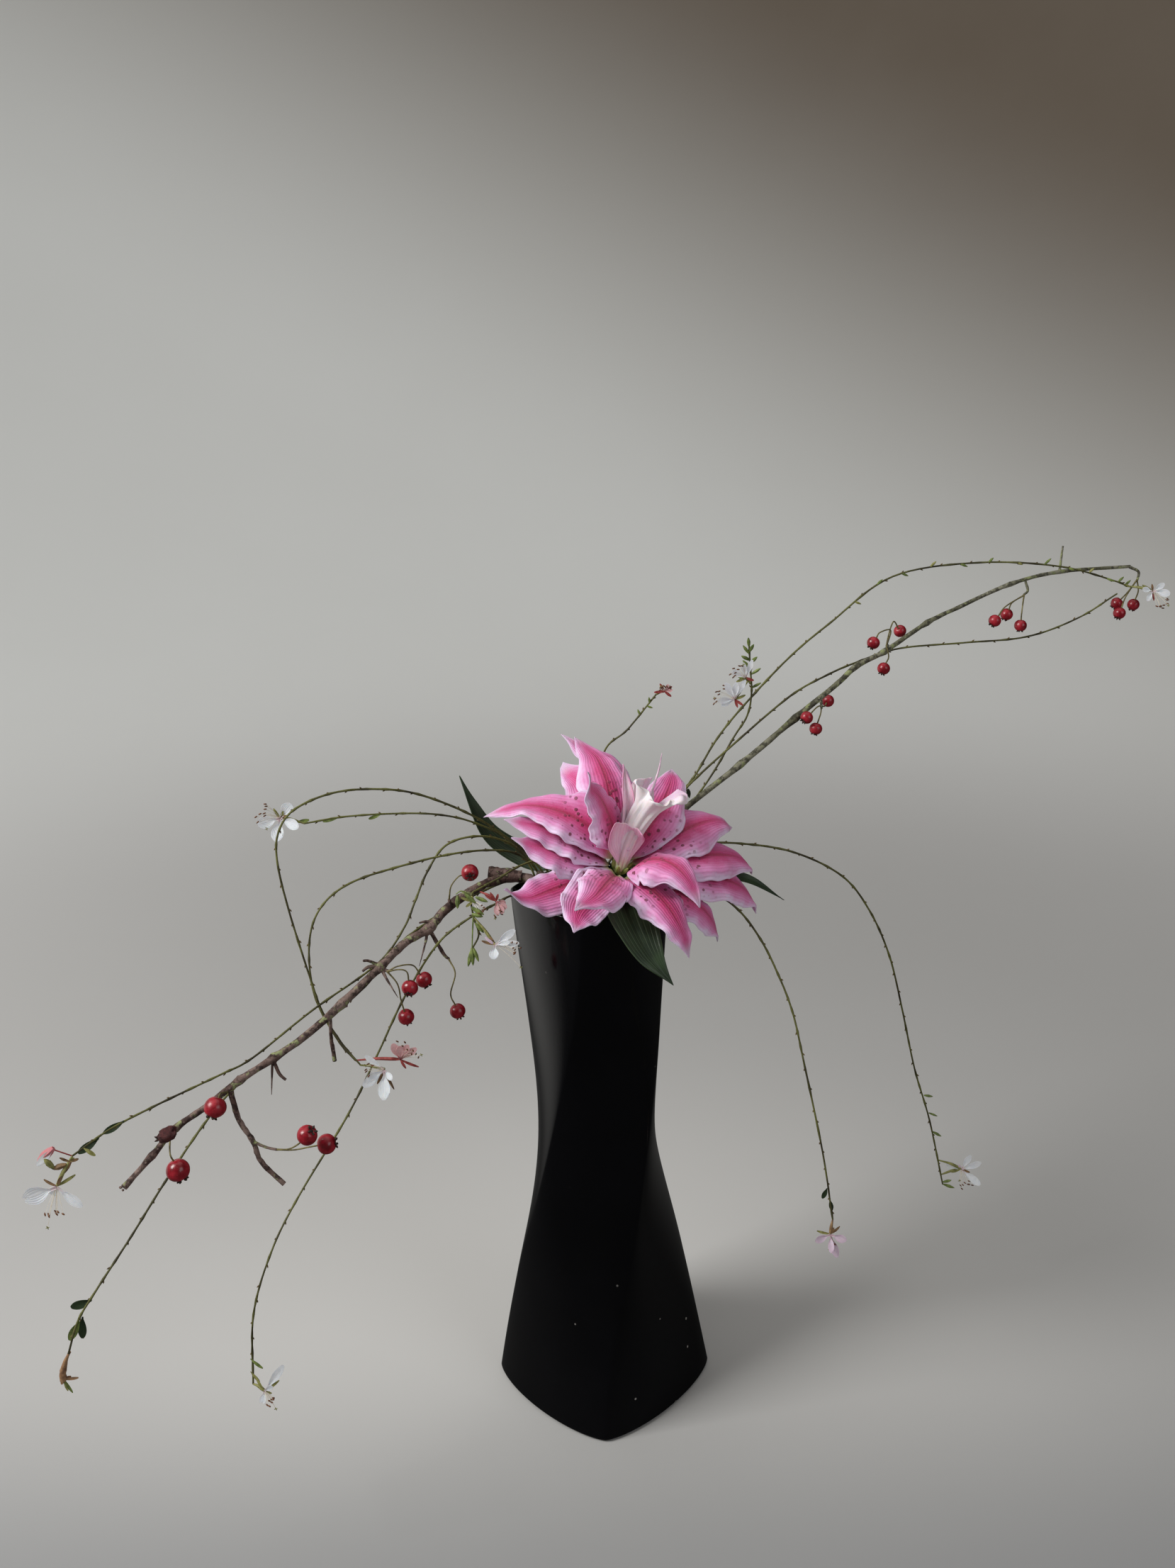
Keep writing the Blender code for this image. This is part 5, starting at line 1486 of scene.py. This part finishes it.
# the rows of the flowers, with a seed at the end of each
smallFlowers = {
    "hangingPink": ((-62.5, -30, 405), pink, (-73, -26, 410),
        [(-60, 9, 5, 0.4), (-35, 8, 5, 0.3), (-85, 9, 4.5, 0.5), (-15, 6, 4, 0.2)],
        [(150, 8, 0.2, red), (120, 7, 0.3, red), (70, 5, 0.3, red)], (-80, 20, 9), (-95, 11), 5),
    "hangingWhite": ((-78, -32, 406), white, (-79, -31, 409),
        [(-60, 7, 2.6, 0.3), (-25, 8, 2.4, 0.2)], [(160, 8, 0.2, green), (-140, 6, 0.2, green)],
        (-40, 30, 9), (-60, 9), 6),
    "raceme": ((116, 60, 532), white, (120, 65, 526),
        [(150, 11, 4.5, 0.3), (70, 13, 4, 0.1), (100, 11, 4, 0.3)],
        [(-20, 6, 0.3, red), (200, 7, 0.4, green)], (140, 30, 12), (100, 12), 7),
    "spent": ((57.5, 46, 527.5), pink, (52, 48, 525), [(60, 5, 2.4, 0.2), (10, 5, 2.2, 0.3)],
        [(120, 6, 0.2, red), (-40, 6, 0.2, red), (185, 7, 0.2, red), (30, 6, 0.2, red)],
        (90, 60, 5), (120, 5), 8),
}


def addBudAt(bm, base, angle, lean, length, width, slot):
    addBud(bm, Vector(base) / 1000, aimed(angle, lean), length / 1000, width / 1000, slot)


def addBuds(bm, rows):
    for base, angle, length, width in rows:
        addBudAt(bm, base, angle, 0.25, length, width, bud)


def addBladeAt(bm, base, angle, lean, length, width, slot, curl=0.3, claw=0.0, steps=(3, 6)):
    addPetal(bm, Vector(base) / 1000, angle, length / 1000, width / 1000, lean, slot, curl, claw, 0.0, steps)


def addStalk(bm, route, first, last, slot):
    path = smoothRoute(metres(route), 5)
    growTube(bm, ringsAlong(path, blend(first / 1000, last / 1000, len(path)), 6), slot)


def addSmallFlower(bm, name):
    *row, seed = smallFlowers[name]
    addFlower(bm, *row, random.Random(seed))


def makeTrimmings():
    bm = newMesh()
    for row in bracts:
        addBudAt(bm, *row)
    for row in leafBlades:
        addBladeAt(bm, *row, 0.3, 0.06, (6, 10))
    finishPiece("gauraBracts", bm, flowerSkins, ())

    bm = newMesh()
    # the hanging cluster on the seventh stem
    addBuds(bm, hangingBuds)
    addStalk(bm, [(-79, -30, 409), (-85, -31, 413), (-89, -31, 411)], 0.6, 0.4, bud)
    addStalk(bm, [(-78, -33, 396), (-79, -36, 385), (-80, -37, 372)], 0.6, 0.4, bud)
    addSmallFlower(bm, "hangingPink")
    addSmallFlower(bm, "hangingWhite")
    finishPiece("gauraHangingCluster", bm, flowerSkins, ())

    bm = newMesh()
    # the withered tip of the fifth stem
    route = [(-308.5, -223, 211.5), (-312, -223, 205), (-314.5, -223, 197), (-315, -223, 192)]
    path = smoothRoute(metres(route), 5)
    radii = [0.0008 + 0.0012 * smoothStep(0, 12, k) for k in range(len(path))]
    growTube(bm, ringsAlong(path, radii, 9, 0.3, 400), withered)
    blades = [(-66, 10, bud), (-80, 8, green), (8, 9, withered), (25, 5, withered), (-120, 4, withered)]
    for angle, length, slot in blades:
        addBladeAt(bm, (-314.5, -223, 193), angle, 0.2, length, 2, slot)
    finishPiece("gauraWitheredTip", bm, flowerSkins, ())

    bm = newMesh()
    # the pink bud, the young ovary and the brown bracts by the third flower
    addStalk(bm, [(-303, -190, 320), (-309, -191, 323.5), (-313.5, -191, 325.5)], 0.4, 0.4, red)
    addBudAt(bm, (-312.5, -191, 326.2), -142, 0.2, 12.5, 6.2, pink)
    addBladeAt(bm, (-313.5, -192, 325.5), -140, 0.7, 11, 4.5, white, 0.1, 0.0, (5, 8))
    addBudAt(bm, (-312.5, -195, 315.5), 118, 0.2, 8.5, 3.6, green)
    addBudAt(bm, (-306, -193, 316.5), -170, 0.3, 8, 3.8, brown)
    addBudAt(bm, (-303, -191, 319), -120, 0.2, 10, 2.6, brown)
    for angle, length, slot in [(20, 6, brown), (40, 4, green), (150, 6, brown)]:
        addBladeAt(bm, (-304, -192, 318), angle, 0.3, length, 1.8, slot, 0.4)
    finishPiece("gauraPinkBud", bm, flowerSkins, ())

    bm = newMesh()
    # the upright raceme on the tenth stem
    addBuds(bm, racemeBuds)
    addSmallFlower(bm, "raceme")
    finishPiece("gauraRaceme", bm, flowerSkins, ())

    bm = newMesh()
    # the red-brown spent flower on the thirteenth stem
    addBudAt(bm, (51.5, 48, 524.5), 35, 0.2, 6, 2.2, bud)
    addSmallFlower(bm, "spent")
    for base, angle in [((47, 46.5, 519), 95), ((45, 46.5, 517), -20), ((40, 45.5, 511), 110)]:
        addBudAt(bm, base, angle, 0.1, 4.5, 1.8, bud)
    finishPiece("gauraSpentFlower", bm, flowerSkins, ())

    bm = newMesh()
    # catkin-like buds along the upper arc of the eleventh stem
    draw = random.Random(3)
    arc = [point for point in stemPaths["gaura_stem_11"] if point.x > 0.20]
    for n, point in enumerate(arc[::3]):
        side = 1 if n % 2 else -1
        length = draw.uniform(0.0045, 0.007)
        addBud(bm, point, aimed(12 + 34 * side, 0.15), length, 0.0019, bud if n % 3 else green)
    finishPiece("gauraArcBuds", bm, flowerSkins, ())

    bm = newMesh()
    # the shrunken berry in the crook of the left branch's end
    middle = Vector((-253, -173, 321.5)) / 1000
    addBall(bm, middle, (0.0042, 0.0062), (0.8, 0.1, 0.5), 0, 20)
    for vert in bm.verts:
        vert.co += (vert.co - middle) * 0.35 * noise.noise(vert.co * 380)
    for angle in (100, 150, 200):
        addBudAt(bm, (-257, -173, 319), angle, 0.2, 4, 1.6, 1)
    dried = mottledMaterial("driedBerry", "3d1619", "6e3230", 300, (0.5, 0.75), 0.8, 0.0008)
    finishPiece("driedBerry", bm, [dried, calyxBrown], ())


makeTrimmings()
print("trimmings made")


# Floor, light and camera

studio = {
    "wallDistance": 3.2,
    "wallHeight": 3.4,
    "floorTone": "c6c5c3",
    "wallTone": "bcbdbb",
    "wallShade": "5f564c",
    # strength of the painted light that the backdrop paper gives off, though it is no lamp
    "glow": 0.42,
    "keyEnergy": 40,
    "fillEnergy": 11,
    "topEnergy": 8,
}


def makeStudio():
    shape = studio
    profile = [(0.0, 0.0), (1.3, 0.0)]
    for i in range(1, 13):
        turn = math.pi / 2 * i / 12
        profile.append((1.5 + 1.7 * math.sin(turn), 1.7 * (1 - math.cos(turn))))
    profile.append((shape["wallDistance"], shape["wallHeight"]))
    bm = newMesh()
    verts = [bm.verts.new((reach, 0, height - 0.0004)) for reach, height in profile]
    edges = [bm.edges.new(pair) for pair in zip(verts, verts[1:])]
    bmesh.ops.spin(bm, geom=verts + edges, cent=(0, 0, 0), axis=(0, 0, 1), angle=math.tau, steps=64,
                   use_merge=True)
    bmesh.ops.remove_doubles(bm, verts=bm.verts, dist=0.0001)
    bmesh.ops.recalc_face_normals(bm, faces=bm.faces)
    mesh = bpy.data.meshes.new("studioSweep")
    bm.to_mesh(mesh)
    bm.free()
    mesh.shade_smooth()
    material, tree, shader = newMaterial("studioPaper", Roughness=0.9, Specular_IOR_Level=0.2,
                                         Emission_Strength=shape["glow"])
    parts = addNode(tree, "SeparateXYZ")
    tree.links.new(addNode(tree, "TexCoord").outputs["Object"], parts.inputs[0])
    across, away, height = parts.outputs
    tone = mix(tree, fade(tree, height, 0.0, 1.0), colour(shape["floorTone"]), colour(shape["wallTone"]))
    reach = maths(tree, "SQRT", maths(tree, "ADD", times(tree, across, across), times(tree, away, away)))
    # painted shade: the floor is darkened towards grey away from the vase, as if a pool of light fell round
    # it
    tone = mix(tree, fade(tree, reach, 0.1, 0.6, 0.0, 0.30), tone, colour("858688"))
    # painted shade: the floor towards the front is darkened towards the same grey
    tone = mix(tree, fade(tree, away, -0.25, 0.05, 0.8, 0.0), tone, colour("858688"))
    tone = mix(tree, fade(tree, reach, 1.2, 2.4), tone, colour(shape["wallTone"]))
    # painted shade: the paper darkens towards the brown-grey wall shade to the right and upwards, where less
    # light falls
    corner = maths(tree, "ADD", times(tree, across, 0.55), height)
    tone = mix(tree, fade(tree, corner, 0.3, 2.1), tone, colour(shape["wallShade"]))
    grain = patchesOf(tree, 3, 3, 0.4)
    tone = tint(tree, grain, 0.05, tone, "9a978f")
    # painted reflection: glossy rays see the paper darkened to black everywhere but behind and to the left,
    # so the glaze reflects dark in front and to the right as if flags stood there; no flags are built
    open = times(tree, fade(tree, across, -0.60, -0.25, 1.0, 0.0), fade(tree, away, -0.2, 0.35))
    glossy = addNode(tree, "LightPath").outputs["Is Glossy Ray"]
    paintedDarkReflection = times(tree, maths(tree, "MULTIPLY_ADD", open, -0.9, 0.9), glossy)
    tone = mix(tree, paintedDarkReflection, tone, (0, 0, 0, 1))
    feed(tree, shader.inputs["Base Color"], tone)
    # painted light: the paper away from the vase glows with its own tone, though it is no lamp
    glow = mix(tree, fade(tree, reach, 0.7, 2.2), (0, 0, 0, 1), tone)
    feed(tree, shader.inputs["Emission Color"], glow)
    mesh.materials.append(material)
    sweep = bpy.data.objects.new("studioSweep", mesh)
    bpy.context.scene.collection.objects.link(sweep)


def addLight(name, place, target, size, energy, hue):
    light = bpy.data.lights.new(name, "AREA")
    light.shape = "RECTANGLE"
    light.size, light.size_y = size
    light.energy = energy
    light.color = hue
    lamp = bpy.data.objects.new(name, light)
    lamp.location = place
    lamp.rotation_euler = (Vector(target) - Vector(place)).to_track_quat("-Z", "Y").to_euler()
    bpy.context.scene.collection.objects.link(lamp)
    return lamp


def makeLights():
    shape = studio
    addLight("softKey", (-1.5, -0.55, 1.7), (0, 0, 0.3), (0.9, 0.9), shape["keyEnergy"], (1.0, 0.99, 0.97))
    addLight("softFill", (1.6, -1.6, 1.4), (0, 0, 0.3), (1.4, 1.4), shape["fillEnergy"], (0.93, 0.96, 1.0))
    addLight("softTop", (0.1, 0.4, 2.6), (0, 0, 0.2), (2.2, 2.0), shape["topEnergy"], (1.0, 1.0, 1.0))
    world = bpy.data.worlds.new("studioAir")
    world.use_nodes = True
    world.node_tree.nodes["Background"].inputs["Color"].default_value = colour("b9b8b4")
    world.node_tree.nodes["Background"].inputs["Strength"].default_value = 0.4
    bpy.context.scene.world = world


view = {"place": (0.0016, -0.872, 0.747), "pitch": 17.29, "roll": -1.88, "lens": 36 * 1900 / 2212}


def makeCamera():
    shape = view
    pitch, roll = math.radians(shape["pitch"]), math.radians(shape["roll"])
    camera = bpy.data.cameras.new("frontCamera")
    camera.sensor_width = 36
    camera.lens = shape["lens"]
    camera.clip_start = 0.01
    piece = bpy.data.objects.new("frontCamera", camera)
    place = Matrix.Translation(shape["place"])
    piece.matrix_world = place @ Matrix.Rotation(math.pi / 2 - pitch, 4, "X") @ Matrix.Rotation(roll, 4, "Z")
    bpy.context.scene.collection.objects.link(piece)
    bpy.context.scene.camera = piece


makeStudio()
makeLights()
makeCamera()
bpy.context.scene.view_settings.view_transform = "Standard"
print("studio made")
